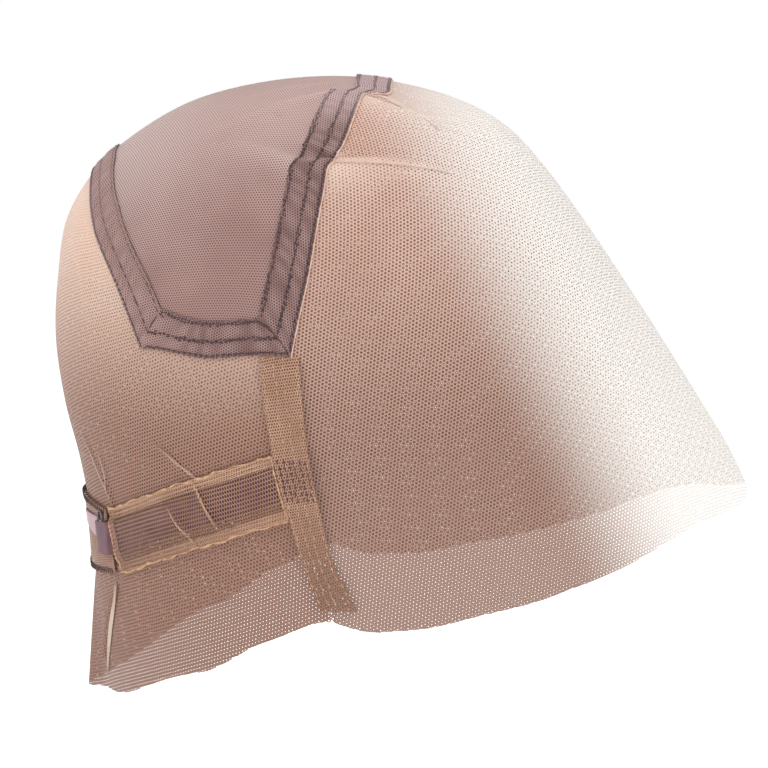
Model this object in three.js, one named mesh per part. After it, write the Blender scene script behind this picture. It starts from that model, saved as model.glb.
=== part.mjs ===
// Lace wig cap: lace front and back, stretch crown, taped seams,
// and two elastic straps that close at the nape.
// Millimetres and degrees. X points to the face, Y to the wearer's left and Z up.
// The origin is the top of the crown on the inside of the cap, where the head carries it.
import * as THREE from 'three';

// Cloth
const CLOTH = 1.0; // thickness of every cloth wall
const GAP = 0.3; // clearance between cloths that lie side by side or on each other
const ON_LACE = CLOTH + GAP; // inner face of what is sewn on the lace or the crown
const ON_STRAP = ON_LACE + CLOTH + GAP; // inner face of what covers a strap or lies on the nape patch
const HEM_WIDTH = 12; // turned border of the crown panel

// Level sections of the head form, which is the inside of the cloth: how far below the crown each lies,
// how far it reaches back and forward of the crown, and its half width.
const FORM = [
  { drop: 0, back: 0, front: 0, side: 0 },
  { drop: 3, back: 30, front: 26, side: 24 },
  { drop: 8, back: 48, front: 43, side: 40 },
  { drop: 17, back: 65, front: 59.3, side: 53 },
  { drop: 30, back: 81, front: 71.7, side: 63 },
  { drop: 48, back: 92.5, front: 85.2, side: 71 },
  { drop: 68, back: 96, front: 98.8, side: 75.5 },
  { drop: 90, back: 97, front: 113.2, side: 78 },
  { drop: 112, back: 94, front: 127, side: 78.5 },
  { drop: 132, back: 89, front: 139, side: 78 },
  { drop: 152, back: 85.5, front: 147, side: 77 },
  { drop: 180, back: 83.5, front: 149, side: 74 },
  { drop: 216, back: 81, front: 149, side: 70 },
];

// Edges and seams, as places on the form: angle is measured from the face round to the nape.
// Edges that cross the middle start there, and are mirrored to the other side.
const CROWN_FRONT = [
  { angle: 0, drop: 1.7 },
  { angle: 45, drop: 3.2 },
  { angle: 57, drop: 4.9 },
  { angle: 70.5, drop: 5.7 },
  { angle: 76, drop: 6.7 },
  { angle: 80, drop: 9.1 },
  { angle: 83.4, drop: 13 },
  { angle: 86.3, drop: 18.4 },
  { angle: 89.7, drop: 25.8 },
  { angle: 91.2, drop: 28.2 },
  { angle: 92.3, drop: 37 },
  { angle: 94.7, drop: 61 },
  { angle: 98, drop: 88 },
];
const CROWN_BACK = [
  { angle: 180, drop: 32.5 },
  { angle: 165, drop: 36 },
  { angle: 148, drop: 52 },
  { angle: 138, drop: 69 },
  { angle: 131, drop: 87.5 },
];
const CROWN_BOTTOM = [
  { angle: 98, drop: 88 },
  { angle: 115, drop: 89.2 },
  { angle: 131, drop: 87.5 },
];
const EAR_SEAM = [
  { angle: 98, drop: 88 },
  { angle: 98, drop: 119 },
  { angle: 95.6, drop: 143 },
  { angle: 93, drop: 158 },
  { angle: 90.4, drop: 177 },
];
const FRONT_HEM = [
  { angle: 0, drop: 142.5 },
  { angle: 20, drop: 147 },
  { angle: 43.5, drop: 157 },
  { angle: 60, drop: 169.5 },
  { angle: 74, drop: 177.5 },
  { angle: 84, drop: 180.5 },
  { angle: 90.4, drop: 177 },
];
const BACK_HEM = [
  { angle: 180, drop: 213 },
  { angle: 160, drop: 211 },
  { angle: 142, drop: 205.5 },
  { angle: 122, drop: 196.5 },
  { angle: 105, drop: 184 },
  { angle: 90.4, drop: 177 },
];

// Folds: the line that each crest follows on the wearer's left, its height at either end,
// and how far it slopes away on the side of the face and crown, and on the side of the ear.
const FOLDS = [
  { from: { angle: 90.5, drop: 26 }, to: { angle: 54, drop: 31 }, start: 3, end: 0.5, upper: 5, lower: 11 },
  { from: { angle: 90.5, drop: 26 }, to: { angle: 113, drop: 22 }, start: 3, end: 0.3, upper: 5, lower: 9 },
  { from: { angle: 77, drop: 6.4 }, to: { angle: 50, drop: 17 }, start: 2.5, end: 0.5, upper: 5, lower: 9 },
  { from: { angle: 77, drop: 6.4 }, to: { angle: 125, drop: 6.5 }, start: 2.5, end: 0.3, upper: 5, lower: 8 },
];
const NAPE_FOLD = {
  from: { angle: 180, drop: 172 },
  to: { angle: 180, drop: 214 },
  start: 0,
  end: 6,
  upper: 10,
  lower: 10,
};

// Ear tape: middle and width at each drop, with a raised stretch where it crosses the strap
const EAR_TAPE = [
  { drop: 90.5, angle: 100.2, width: 10.5 },
  { drop: 119, angle: 98.6, width: 10 },
  { drop: 143, angle: 95.6, width: 9.4 },
  { drop: 156, angle: 93.4, width: 9 },
  { drop: 169, angle: 90.6, width: 8 },
];
const TAPE_RISE = { from: 118, raised: 120.5, lowered: 137.5, to: 140 };

// Strap: middle of the band at each angle. It leaves its casing at the nape.
const STRAP_WIDTH = 11.5;
const STRAP = [
  { angle: 95.6, drop: 127.2 },
  { angle: 100, drop: 129.6 },
  { angle: 124, drop: 142 },
  { angle: 147, drop: 153.6 },
  { angle: 157.6, drop: 155.6 },
];
const STRAP_RISE = { from: 149.9, to: 151.1 };

// Casing: sewn flat along both edges and raised over the strap between them. Its rear end is cut aslant.
const CASING_WIDTH = 23;
const CASING_SHIFT = 1.2; // its middle lies this far below the strap's
const CASING_END = { upper: 150.4, lower: 147 };
const CASING_PROFILE = [
  { across: -1, inner: ON_LACE },
  { across: -0.74, inner: ON_LACE },
  { across: -0.58, inner: ON_STRAP },
  { across: 0, inner: ON_STRAP },
  { across: 0.48, inner: ON_STRAP },
  { across: 0.66, inner: ON_LACE },
  { across: 1, inner: ON_LACE },
];

// Nape closure: the patch's corners are drawn towards the straps, and each tab narrows towards the middle.
const PATCH = { upperHalf: 27.3, lowerHalf: 29.2, top: 143, bottom: 169.8, drawn: 2.4 };
const TAB = { from: 158.1, to: 172, top: 147.6, bottom: 155.6, narrowed: 3.4 };
const HOOK = { angle: 152, drop: 146.6, radius: 1.5, wire: 0.45, lift: 4.2, sides: 6, turns: 14 };

// Cells of each piece's grid, across and down. A grid line of the back lace meets each corner of the crown.
const CROWN_GRID = { columns: 26, rows: 16, border: 2 };
const FRONT_GRID = { columns: 46, rows: 17 };
const BACK_GRID = { columns: 34, rows: 19, corner: 8 };
const TAPE_GRID = { columns: 4, step: 7 };
const STRAP_GRID = { rows: 2, step: 3.4 };
const CASING_COLUMNS = 16;
const PATCH_GRID = { columns: 16, rows: 5 };
const TAB_GRID = { columns: 5, rows: 2 };

const { clamp, lerp, degToRad, radToDeg } = THREE.MathUtils;

// A smooth curve through a table: the value of one column at any place along another.
function along(table, key, column, place) {
  const slope = (i) => {
    const before = table[Math.max(i - 1, 0)];
    const after = table[Math.min(i + 1, table.length - 1)];
    return (after[column] - before[column]) / (after[key] - before[key]);
  };
  let i = table.findIndex((row) => row[key] > place) - 1;
  if (i < 0) i = place < table[0][key] ? 0 : table.length - 2;
  const [low, high] = [table[i], table[i + 1]];
  const span = high[key] - low[key];
  const t = (place - low[key]) / span;
  const rise = high[column] - low[column];
  const bend = t * (1 - t) * ((slope(i) * span - rise) * (1 - t) - (slope(i + 1) * span - rise) * t);
  return low[column] + t * rise + bend;
}

// The form's table by the root of the drop, which grows evenly over the round crown
const SECTIONS = FORM.map((row) => ({ ...row, root: Math.sqrt(row.drop) }));

// The plan is the cap laid flat as seen from above: the angle from the face,
// and the root of the drop as the radius.
function plan({ angle, drop }) {
  const root = Math.sqrt(drop);
  return new THREE.Vector2(root * Math.cos(degToRad(angle)), root * Math.sin(degToRad(angle)));
}

function formPoint(spot) {
  const root = spot.length();
  if (root === 0) return new THREE.Vector3();
  const reach = along(SECTIONS, 'root', spot.x > 0 ? 'front' : 'back', root);
  const side = along(SECTIONS, 'root', 'side', root);
  return new THREE.Vector3((reach * spot.x) / root, (side * spot.y) / root, -root * root);
}

function formNormal(spot) {
  const step = 0.02;
  const difference = (x, y) => {
    const before = formPoint(new THREE.Vector2(spot.x - x, spot.y - y));
    return formPoint(new THREE.Vector2(spot.x + x, spot.y + y)).sub(before);
  };
  return difference(step, 0).cross(difference(0, step)).normalize();
}

// How far one fold lifts the cloth at a spot of the plan
function foldLift(spot, fold) {
  const from = plan(fold.from);
  const line = plan(fold.to).sub(from);
  const way = spot.clone().sub(from);
  const share = clamp(way.dot(line) / line.lengthSq(), 0, 1);
  const crest = from.clone().addScaledVector(line, share);
  const distance = formPoint(spot).distanceTo(formPoint(crest));
  const lower = spot.length() > crest.length();
  const width = lower ? fold.lower : fold.upper;
  return lerp(fold.start, fold.end, share) * Math.exp(-((distance / width) ** 2));
}

function clothLift(spot) {
  const left = new THREE.Vector2(spot.x, Math.abs(spot.y));
  return Math.max(foldLift(left, NAPE_FOLD), ...FOLDS.map((fold) => foldLift(left, fold)));
}

function clothPoint(spot, lift) {
  return formPoint(spot).addScaledVector(formNormal(spot), lift + clothLift(spot));
}

// A curve on the plan from the wearer's right to the left, from a table that starts at the middle
function acrossHead(table) {
  const left = table.map(plan);
  const right = left.slice(1).map((spot) => new THREE.Vector2(spot.x, -spot.y));
  return new THREE.SplineCurve([...right.reverse(), ...left]);
}

const mirrored = (table) => table.map(({ angle, drop }) => ({ angle: -angle, drop }));
const downSide = (table) => new THREE.SplineCurve(table.map(plan));

// A point by its share of an edge's length, along which a path of several curves already runs
const arcPoint = (edge, share) => (edge.curves ? edge.getPoint(share) : edge.getPointAt(share));

// A panel of cloth between four edges of the plan: u runs from the wearer's right to the left,
// and v from the upper edge to the lower one.
function panel(upper, lower, right, left) {
  const corner = [upper.getPoint(0), upper.getPoint(1), lower.getPoint(0), lower.getPoint(1)];
  return (u, v) =>
    new THREE.Vector2()
      .addScaledVector(arcPoint(upper, u), 1 - v)
      .addScaledVector(arcPoint(lower, u), v)
      .addScaledVector(right.getPointAt(v), 1 - u)
      .addScaledVector(left.getPointAt(v), u)
      .addScaledVector(corner[0], -(1 - u) * (1 - v))
      .addScaledVector(corner[1], -u * (1 - v))
      .addScaledVector(corner[2], -(1 - u) * v)
      .addScaledVector(corner[3], -u * v);
}

// Length on the form of a line across the plan
function lineLength(spotAt) {
  const steps = 40;
  let length = 0;
  for (let k = 0; k < steps; k += 1) {
    length += formPoint(spotAt(k / steps)).distanceTo(formPoint(spotAt((k + 1) / steps)));
  }
  return length;
}

// A closed wall of cloth over the kept cells of a grid. corner(i, j) gives a spot of the plan
// and the lifts of the wall's inner and outer face there.
function clothWall(columns, rows, corner, kept = () => true) {
  const positions = [];
  for (let i = 0; i <= columns; i += 1) {
    for (let j = 0; j <= rows; j += 1) {
      const { spot, inner, outer } = corner(i, j);
      positions.push(...clothPoint(spot, inner).toArray(), ...clothPoint(spot, outer).toArray());
    }
  }
  const inner = (i, j) => 2 * (i * (rows + 1) + j);
  const holds = (i, j) => i >= 0 && j >= 0 && i < columns && j < rows && kept(i, j);
  const indices = [];
  const quad = (a, b, c, d) => indices.push(a, b, c, a, c, d);
  for (let i = 0; i < columns; i += 1) {
    for (let j = 0; j < rows; j += 1) {
      if (!holds(i, j)) continue;
      const ring = [inner(i, j), inner(i + 1, j), inner(i + 1, j + 1), inner(i, j + 1)];
      const neighbour = [holds(i, j - 1), holds(i + 1, j), holds(i, j + 1), holds(i - 1, j)];
      const [a, b, c, d] = ring;
      quad(a, d, c, b);
      quad(a + 1, b + 1, c + 1, d + 1);
      ring.forEach((from, k) => {
        const to = ring[(k + 1) % ring.length];
        if (!neighbour[k]) quad(from, to, to + 1, from + 1);
      });
    }
  }
  return closedBody(positions, indices);
}

// A body without unused points, whose faces point outwards
function closedBody(positions, indices) {
  const order = new Map();
  const used = indices.map((index) => {
    if (!order.has(index)) order.set(index, order.size);
    return order.get(index);
  });
  const points = [...order.keys()].map((index) => new THREE.Vector3().fromArray(positions, 3 * index));
  let volume = 0;
  for (let k = 0; k < used.length; k += 3) {
    const [a, b, c] = used.slice(k, k + 3).map((index) => points[index]);
    volume += a.dot(b.clone().cross(c));
  }
  const geometry = new THREE.BufferGeometry().setFromPoints(points);
  geometry.setIndex(volume > 0 ? used : used.toReversed());
  geometry.computeVertexNormals();
  return geometry;
}

// Share of a line across the plan that the hem takes up at the line's start
function hemShare(spotAt) {
  const probe = 0.05;
  return (HEM_WIDTH * probe) / formPoint(spotAt(0)).distanceTo(formPoint(spotAt(probe)));
}

// Place from 0 to 1 of a line of the crown's grid, with the hem at both ends
function hemmed(k, cells, first, last) {
  const { border } = CROWN_GRID;
  if (k <= border) return (first * k) / border;
  if (k >= cells - border) return 1 - (last * (cells - k)) / border;
  return lerp(first, 1 - last, (k - border) / (cells - 2 * border));
}

// Places along a line that meet every mark, no further apart than a step
function stopsThrough(marks, step) {
  const stops = [marks[0]];
  marks.slice(1).forEach((mark, k) => {
    const parts = Math.ceil((mark - marks[k]) / step);
    for (let n = 1; n <= parts; n += 1) stops.push(lerp(marks[k], mark, n / parts));
  });
  return stops;
}

const cloth = (color, roughness = 0.9) =>
  new THREE.MeshStandardMaterial({ color, roughness, metalness: 0, side: THREE.DoubleSide });
const LACE = '#c9a184';
const DOUBLED_LACE = '#c79a74';
const CROWN_MESH = '#a28785';
const CROWN_BORDER = '#7a6063';
const ELASTIC = '#8d6a6c';
const SATIN = '#b79aab';
const PATCH_MESH = '#9c8480';
const DARK_LOOP = '#3c2c33';

const cap = new THREE.Group();
function add(name, geometry, material) {
  const mesh = new THREE.Mesh(geometry, material);
  mesh.name = name;
  cap.add(mesh);
  return mesh;
}

// Crown panel and its turned hem, which share the lines of one grid
const crownFront = acrossHead(CROWN_FRONT);
const crownBack = acrossHead(CROWN_BACK);
const crownBottomLeft = downSide(CROWN_BOTTOM.toReversed());
const crownBottomRight = downSide(mirrored(CROWN_BOTTOM).toReversed());
const crown = panel(crownBack, crownFront, crownBottomRight, crownBottomLeft);

function crownSpot(i, j) {
  const { columns, rows } = CROWN_GRID;
  const evenU = i / columns;
  const evenV = j / rows;
  const rightHem = hemShare((t) => crown(t, evenV));
  const leftHem = hemShare((t) => crown(1 - t, evenV));
  const backHem = hemShare((t) => crown(evenU, t));
  const frontHem = hemShare((t) => crown(evenU, 1 - t));
  return crown(hemmed(i, columns, rightHem, leftHem), hemmed(j, rows, backHem, frontHem));
}

function addCrown() {
  const { columns, rows, border } = CROWN_GRID;
  const wall = (inner) => (i, j) => ({ spot: crownSpot(i, j), inner, outer: inner + CLOTH });
  add('crown_panel', clothWall(columns, rows, wall(0)), cloth(CROWN_MESH));
  const nearEnd = (k, cells) => k < border || k >= cells - border;
  const inHem = (i, j) => nearEnd(i, columns) || nearEnd(j, rows);
  add('crown_hem', clothWall(columns, rows, wall(ON_LACE), inHem), cloth(CROWN_BORDER));
}

// The two lace sheets, which keep a seam's gap from the crown and from each other along the ear seams
const earSeamLeft = downSide(EAR_SEAM);
const earSeamRight = downSide(mirrored(EAR_SEAM));

function joined(...curves) {
  const path = new THREE.CurvePath();
  curves.forEach((curve) => path.add(curve));
  return path;
}

// The front sheet runs from one long edge, up an ear seam, over the crown's front and down the other
// ear seam, to its raw hem. Both start where an ear seam meets the hem, and a small notch is left there.
function addFrontLace() {
  const edge = joined(downSide(mirrored(EAR_SEAM).toReversed()), crownFront, earSeamLeft);
  const hem = acrossHead(FRONT_HEM);
  const sheet = (u, v) => edge.getPoint(u).lerp(hem.getPointAt(u), v);
  const { columns, rows } = FRONT_GRID;
  const notch = 0.012; // share of the edge's length
  const seam = 2 * GAP; // measured along the lines, which leave the seam aslant
  const corner = (i, j) => {
    const u = lerp(notch, 1 - notch, i / columns);
    const start = seam / lineLength((t) => sheet(u, t));
    return { spot: sheet(u, lerp(start, 1, j / rows)), inner: 0, outer: CLOTH };
  };
  add('front_lace', clothWall(columns, rows, corner), cloth(LACE));
}

// The upper edge of the back sheet turns the corners of the crown.
function addBackLace() {
  const edge = joined(downSide(mirrored(CROWN_BOTTOM)), crownBack, crownBottomLeft);
  const sheet = panel(edge, acrossHead(BACK_HEM), earSeamRight, earSeamLeft);
  const { columns, rows, corner: cornerLine } = BACK_GRID;
  const middleLine = columns / 2;
  const lengths = edge.getCurveLengths();
  const cornerAt = lengths[0] / lengths.at(-1);
  const rightHalf = (k) =>
    k <= cornerLine
      ? (cornerAt * k) / cornerLine
      : lerp(cornerAt, 0.5, (k - cornerLine) / (middleLine - cornerLine));
  const corner = (i, j) => {
    const even = i <= middleLine ? rightHalf(i) : 1 - rightHalf(columns - i);
    const seam = GAP / lineLength((t) => sheet(t, j / rows));
    const u = lerp(seam, 1 - seam, even);
    const start = GAP / lineLength((t) => sheet(u, t));
    return { spot: sheet(u, lerp(start, 1, j / rows)), inner: 0, outer: CLOTH };
  };
  add('back_lace', clothWall(columns, rows, corner), cloth(LACE));
}

// Angle round the form that spans a length, measured on the side of the head
const spanAngle = (length, drop) => radToDeg(length / along(FORM, 'drop', 'side', drop));

// Tapes over the ear seams, raised where they cross the straps
function addEarTape(name, side) {
  const { columns, step } = TAPE_GRID;
  const marks = [EAR_TAPE[0].drop, ...Object.values(TAPE_RISE), EAR_TAPE.at(-1).drop];
  const stops = stopsThrough(marks, step);
  const corner = (i, j) => {
    const drop = stops[j];
    const width = along(EAR_TAPE, 'drop', 'width', drop);
    const turn = spanAngle(width * (i / columns - 0.5), drop);
    const angle = side * (along(EAR_TAPE, 'drop', 'angle', drop) + turn);
    const raised = drop >= TAPE_RISE.raised && drop <= TAPE_RISE.lowered;
    const inner = raised ? ON_STRAP : ON_LACE;
    return { spot: plan({ angle, drop }), inner, outer: inner + CLOTH };
  };
  add(name, clothWall(columns, stops.length - 1, corner), cloth(DOUBLED_LACE));
}

// Straps, which climb onto the nape patch where they leave their casings
function addStrap(name, side) {
  const { rows, step } = STRAP_GRID;
  const marks = [STRAP[0].angle, STRAP_RISE.from, STRAP_RISE.to, STRAP.at(-1).angle];
  const stops = stopsThrough(marks, step);
  const corner = (i, j) => {
    const angle = stops[i];
    const drop = along(STRAP, 'angle', 'drop', angle) + STRAP_WIDTH * (j / rows - 0.5);
    const inner = angle >= STRAP_RISE.to ? ON_STRAP : ON_LACE;
    return { spot: plan({ angle: side * angle, drop }), inner, outer: inner + CLOTH };
  };
  add(name, clothWall(stops.length - 1, rows, corner), cloth(ELASTIC));
}

// Casings, which start behind the ear tapes
function addCasing(name, side) {
  const middle = (angle) => along(STRAP, 'angle', 'drop', angle) + CASING_SHIFT;
  const corner = (i, j) => {
    const { across, inner } = CASING_PROFILE[j];
    const half = (across * CASING_WIDTH) / 2;
    const startDrop = middle(EAR_TAPE[1].angle) + half;
    const tapeEdge = spanAngle(along(EAR_TAPE, 'drop', 'width', startDrop) / 2 + GAP, startDrop);
    const start = along(EAR_TAPE, 'drop', 'angle', startDrop) + tapeEdge;
    const end = lerp(CASING_END.upper, CASING_END.lower, (across + 1) / 2);
    const angle = lerp(start, end, i / CASING_COLUMNS);
    return { spot: plan({ angle: side * angle, drop: middle(angle) + half }), inner, outer: inner + CLOTH };
  };
  add(name, clothWall(CASING_COLUMNS, CASING_PROFILE.length - 1, corner), cloth(DOUBLED_LACE));
}

// Nape patch, its ribbon tabs and the loops that join them to the straps
function addNapePatch() {
  const { columns, rows } = PATCH_GRID;
  const corner = (i, j) => {
    const across = (2 * i) / columns - 1;
    const turn = across * lerp(PATCH.upperHalf, PATCH.lowerHalf, j / rows);
    const drawn = PATCH.drawn * across ** 2;
    const drop = lerp(PATCH.top + drawn, PATCH.bottom - drawn, j / rows);
    return { spot: plan({ angle: 180 + turn, drop }), inner: ON_LACE, outer: ON_LACE + CLOTH };
  };
  add('nape_patch', clothWall(columns, rows, corner), cloth(PATCH_MESH));
}

function addTab(name, side) {
  const { columns, rows } = TAB_GRID;
  const corner = (i, j) => {
    const angle = lerp(TAB.from, TAB.to, i / columns);
    const bottom = TAB.bottom - (TAB.narrowed * i) / columns;
    const drop = lerp(TAB.top, bottom, j / rows);
    return { spot: plan({ angle: side * angle, drop }), inner: ON_STRAP, outer: ON_STRAP + CLOTH };
  };
  add(name, clothWall(columns, rows, corner), cloth(SATIN, 0.45));
}

function addHook(name, side) {
  const spot = plan({ angle: side * HOOK.angle, drop: HOOK.drop });
  const ring = new THREE.TorusGeometry(HOOK.radius, HOOK.wire, HOOK.sides, HOOK.turns);
  const finish = new THREE.MeshStandardMaterial({ color: DARK_LOOP, roughness: 0.35, metalness: 0.2 });
  const hook = add(name, ring, finish);
  hook.position.copy(clothPoint(spot, HOOK.lift));
  hook.quaternion.setFromUnitVectors(new THREE.Vector3(0, 0, 1), formNormal(spot));
}

addCrown();
addFrontLace();
addBackLace();
addNapePatch();
for (const [name, side] of Object.entries({ right: -1, left: 1 })) {
  addEarTape(`ear_tape_${name}`, side);
  addStrap(`strap_${name}`, side);
  addCasing(`strap_casing_${name}`, side);
  addTab(`nape_tab_${name}`, side);
  addHook(`strap_hook_${name}`, side);
}

export default cap;
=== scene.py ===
import math

import bpy
import numpy as np
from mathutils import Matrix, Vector
from mathutils.bvhtree import BVHTree


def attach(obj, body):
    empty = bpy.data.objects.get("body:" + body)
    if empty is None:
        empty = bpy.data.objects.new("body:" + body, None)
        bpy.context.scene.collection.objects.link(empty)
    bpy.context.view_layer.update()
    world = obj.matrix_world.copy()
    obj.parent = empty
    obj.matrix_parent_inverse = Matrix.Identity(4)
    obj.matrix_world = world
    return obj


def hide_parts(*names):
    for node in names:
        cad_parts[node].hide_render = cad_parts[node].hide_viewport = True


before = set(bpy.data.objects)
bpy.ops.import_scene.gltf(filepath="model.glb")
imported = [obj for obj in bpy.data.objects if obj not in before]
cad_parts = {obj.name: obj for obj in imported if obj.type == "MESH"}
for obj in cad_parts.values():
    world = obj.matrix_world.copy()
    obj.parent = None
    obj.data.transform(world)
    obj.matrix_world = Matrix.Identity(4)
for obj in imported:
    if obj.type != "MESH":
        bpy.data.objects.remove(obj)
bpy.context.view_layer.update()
bpy.ops.object.select_all(action="DESELECT")

# Crown panel
# Fine dusty mauve stretch mesh over the top of the cap, cut in one piece and sewn to the lace all round.
# It is drawn tight, with soft dents where the lace is pleated into its front seam. Sizes are millimetres
# and degrees: angle runs from the front round to the nape, and drop is down from the top of the crown.
MM = 0.001
EDGE = "angle drop"


def table(columns, rows):
    """Rows of numbers, with a name for each column."""
    return np.array(rows, [(name, float) for name in columns.split()])


FORM = table(
    "drop back front side",
    [
        (0, 0, 0, 0),
        (3, 30, 26, 24),
        (8, 48, 43, 40),
        (17, 65, 59.3, 53),
        (30, 81, 71.7, 63),
        (48, 92.5, 85.2, 71),
        (68, 96, 98.8, 75.5),
        (90, 97, 113.2, 78),
        (112, 94, 127, 78.5),
        (132, 89, 139, 78),
        (152, 85.5, 147, 77),
        (180, 83.5, 149, 74),
        (216, 81, 149, 70),
    ],
)
FORM_ROOT = np.sqrt(FORM["drop"])
FOLDS = table(
    "angle drop to_angle to_drop start end upper lower",
    [
        (90.5, 26, 54, 31, 2.6, 0.4, 1.3, 11),
        (90.5, 26, 98, 27, 2.6, 2.6, 1.6, 7),
        (98, 26.5, 119, 20, 2.6, 0.6, 2, 6),
        (88.5, 24, 101, 18.4, 2.0, 0.3, 2.2, 2.2),
        (75, 6.4, 50, 17, 2.2, 0.4, 1.2, 9),
        (75, 6.4, 92, 5.1, 2.2, 1.6, 1.5, 6),
        (92, 5.1, 123, 12, 2.0, 0.4, 1.6, 4),
        (95, 2, 131, 4.8, 1.0, 0.4, 1.4, 2),
        (111, 11.4, 133, 17.4, 0.8, 0.3, 1.8, 3),
        (66, 5.6, 50, 8.5, 1.0, 0.2, 2, 5),
        (180, 172, 180, 214, 0, 6, 10, 10),
        (130, 119, 115, 146, 0.5, 0.9, 1.2, 1.2),
        (126, 143, 120, 152.5, 0.6, 0.6, 1.1, 1.1),
        (158, 122, 149, 143.4, 0.5, 1.0, 1.5, 1.5),
        (151.3, 124, 149.5, 142.4, 0.4, 0.9, 1.2, 1.2),
        (150.2, 170.2, 164, 199.5, 1.0, 1.6, 1.8, 1.8),
        (160, 50, 146, 84, 0.7, 0.5, 4, 4),
        (136, 150, 141, 172, 0.7, 0.2, 2, 2),
    ],
)
CROWN_FRONT = table(
    EDGE,
    [
        (0, 1.7), (45, 3.2), (57, 4.9), (70.5, 5.7), (76, 6.7), (80, 9.1), (83.4, 13),
        (86.3, 18.4), (89.7, 25.8), (91.2, 28.2), (92.3, 37), (94.7, 61), (98, 88),
    ],
)
CROWN_BACK = table(EDGE, [(180, 32.5), (165, 36), (148, 52), (138, 69), (131, 87.5)])
CROWN_BOTTOM = table(EDGE, [(98, 88), (115, 89.2), (131, 87.5)])
CREST_LIFT, CREST_SHARPNESS = 2.4, 1.5
FORM_MIDDLE = (10, 0, -100)
HEM_WIDTH = 12
CROWN_LIFT = 0.5
CROWN_PITCH = 0.95
CROWN_THREAD = 0.6
CROWN_TURN = 15
KNOT_WANDER = 0.025
NET_MARGIN = 3
CUT_REACH = 0.45
CUT_THREAD = 0.5


def through(keys, values, place):
    """The value at any place of a smooth curve through a table."""
    last = len(keys) - 1
    rows = np.arange(last + 1)
    before = np.maximum(rows - 1, 0)
    after = np.minimum(rows + 1, last)
    slope = (values[after] - values[before]) / (keys[after] - keys[before])
    i = np.clip(np.searchsorted(keys, place, side="right") - 1, 0, last - 1)
    span = keys[i + 1] - keys[i]
    t = (place - keys[i]) / span
    rise = values[i + 1] - values[i]
    bend = (slope[i] * span - rise) * (1 - t) - (slope[i + 1] * span - rise) * t
    return values[i] + t * rise + t * (1 - t) * bend


def plan(angle, drop):
    """Spots of the plan, the cap laid flat as seen from above, whose radius is the root of the drop."""
    angle = np.radians(angle)
    return np.sqrt(drop)[..., None] * np.stack([np.cos(angle), np.sin(angle)], axis=-1)


def form_point(spots):
    root = np.maximum(np.linalg.norm(spots, axis=-1), 1e-6)
    front = through(FORM_ROOT, FORM["front"], root)
    back = through(FORM_ROOT, FORM["back"], root)
    side = through(FORM_ROOT, FORM["side"], root)
    reach = np.where(spots[..., 0] > 0, front, back)
    return np.stack([reach * spots[..., 0] / root, side * spots[..., 1] / root, -(root**2)], axis=-1)


def form_normal(spots):
    step = 0.02
    along_x = form_point(spots + (step, 0)) - form_point(spots - (step, 0))
    along_y = form_point(spots + (0, step)) - form_point(spots - (0, step))
    normal = np.cross(along_x, along_y)
    return normal / np.linalg.norm(normal, axis=-1, keepdims=True)


def fold_lift(spots, points):
    """How far the folds raise the cloth. Each falls away from its crest by a width above and one below."""
    lift = np.zeros(spots.shape[:-1])
    for fold in FOLDS:
        start = plan(fold["angle"], fold["drop"])
        line = plan(fold["to_angle"], fold["to_drop"]) - start
        share = np.clip((spots - start) @ line / (line @ line), 0, 1)
        top = start + share[..., None] * line
        away = np.linalg.norm(points - form_point(top), axis=-1)
        lower = np.linalg.norm(spots, axis=-1) > np.linalg.norm(top, axis=-1)
        width = np.where(lower, fold["lower"], fold["upper"])
        height = fold["start"] + share * (fold["end"] - fold["start"])
        lift = np.maximum(lift, height * np.exp(-((away / width) ** 2)))
    return lift


def on_left(spots):
    """The same spots on the wearer's left, where the folds are listed."""
    return spots * (1, 0) + np.abs(spots) * (0, 1)


def cloth(spots, lift):
    """Points of a cloth that lies at a lift from the cap's form, with the folds in it."""
    spots = np.asarray(spots, float)
    left = on_left(spots)
    points = form_point(spots)
    raised = np.asarray(lift + fold_lift(left, form_point(left)))
    return points + form_normal(spots) * raised[..., None]


def crest(spots):
    """How near the crest of a fold each spot is, from none to one."""
    left = on_left(spots)
    return np.clip(fold_lift(left, form_point(left)) / CREST_LIFT, 0, 1) ** CREST_SHARPNESS


def at_lift(lift):
    return lambda spots: cloth(spots, lift)


def spline(spots, steps=24):
    """A close line of spots through a few of them."""
    last = len(spots) - 1
    place = np.linspace(0, last, last * steps + 1)
    i = np.minimum(place.astype(int), last - 1)
    t = (place - i)[:, None]
    before, start = spots[np.maximum(i - 1, 0)], spots[i]
    end, after = spots[i + 1], spots[np.minimum(i + 2, last)]
    leave, arrive = (end - before) / 2, (after - start) / 2
    cubic = (2 * start - 2 * end + leave + arrive) * t**3
    square = (3 * end - 3 * start - 2 * leave - arrive) * t**2
    return cubic + square + leave * t + start


def down_side(table, side=1):
    return spline(plan(side * table["angle"], table["drop"]))


def across_cap(table):
    """A line from the wearer's right to the left, from a table that starts at the middle."""
    right = plan(-table["angle"][:0:-1], table["drop"][:0:-1])
    return spline(np.concatenate([right, plan(table["angle"], table["drop"])]))


def at_share(line, share):
    """Spots at shares of a line's length."""
    length = np.concatenate([[0], np.cumsum(np.linalg.norm(np.diff(line, axis=0), axis=1))])
    place = np.asarray(share) * length[-1]
    return np.stack([np.interp(place, length, line[:, 0]), np.interp(place, length, line[:, 1])], axis=-1)


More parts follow.
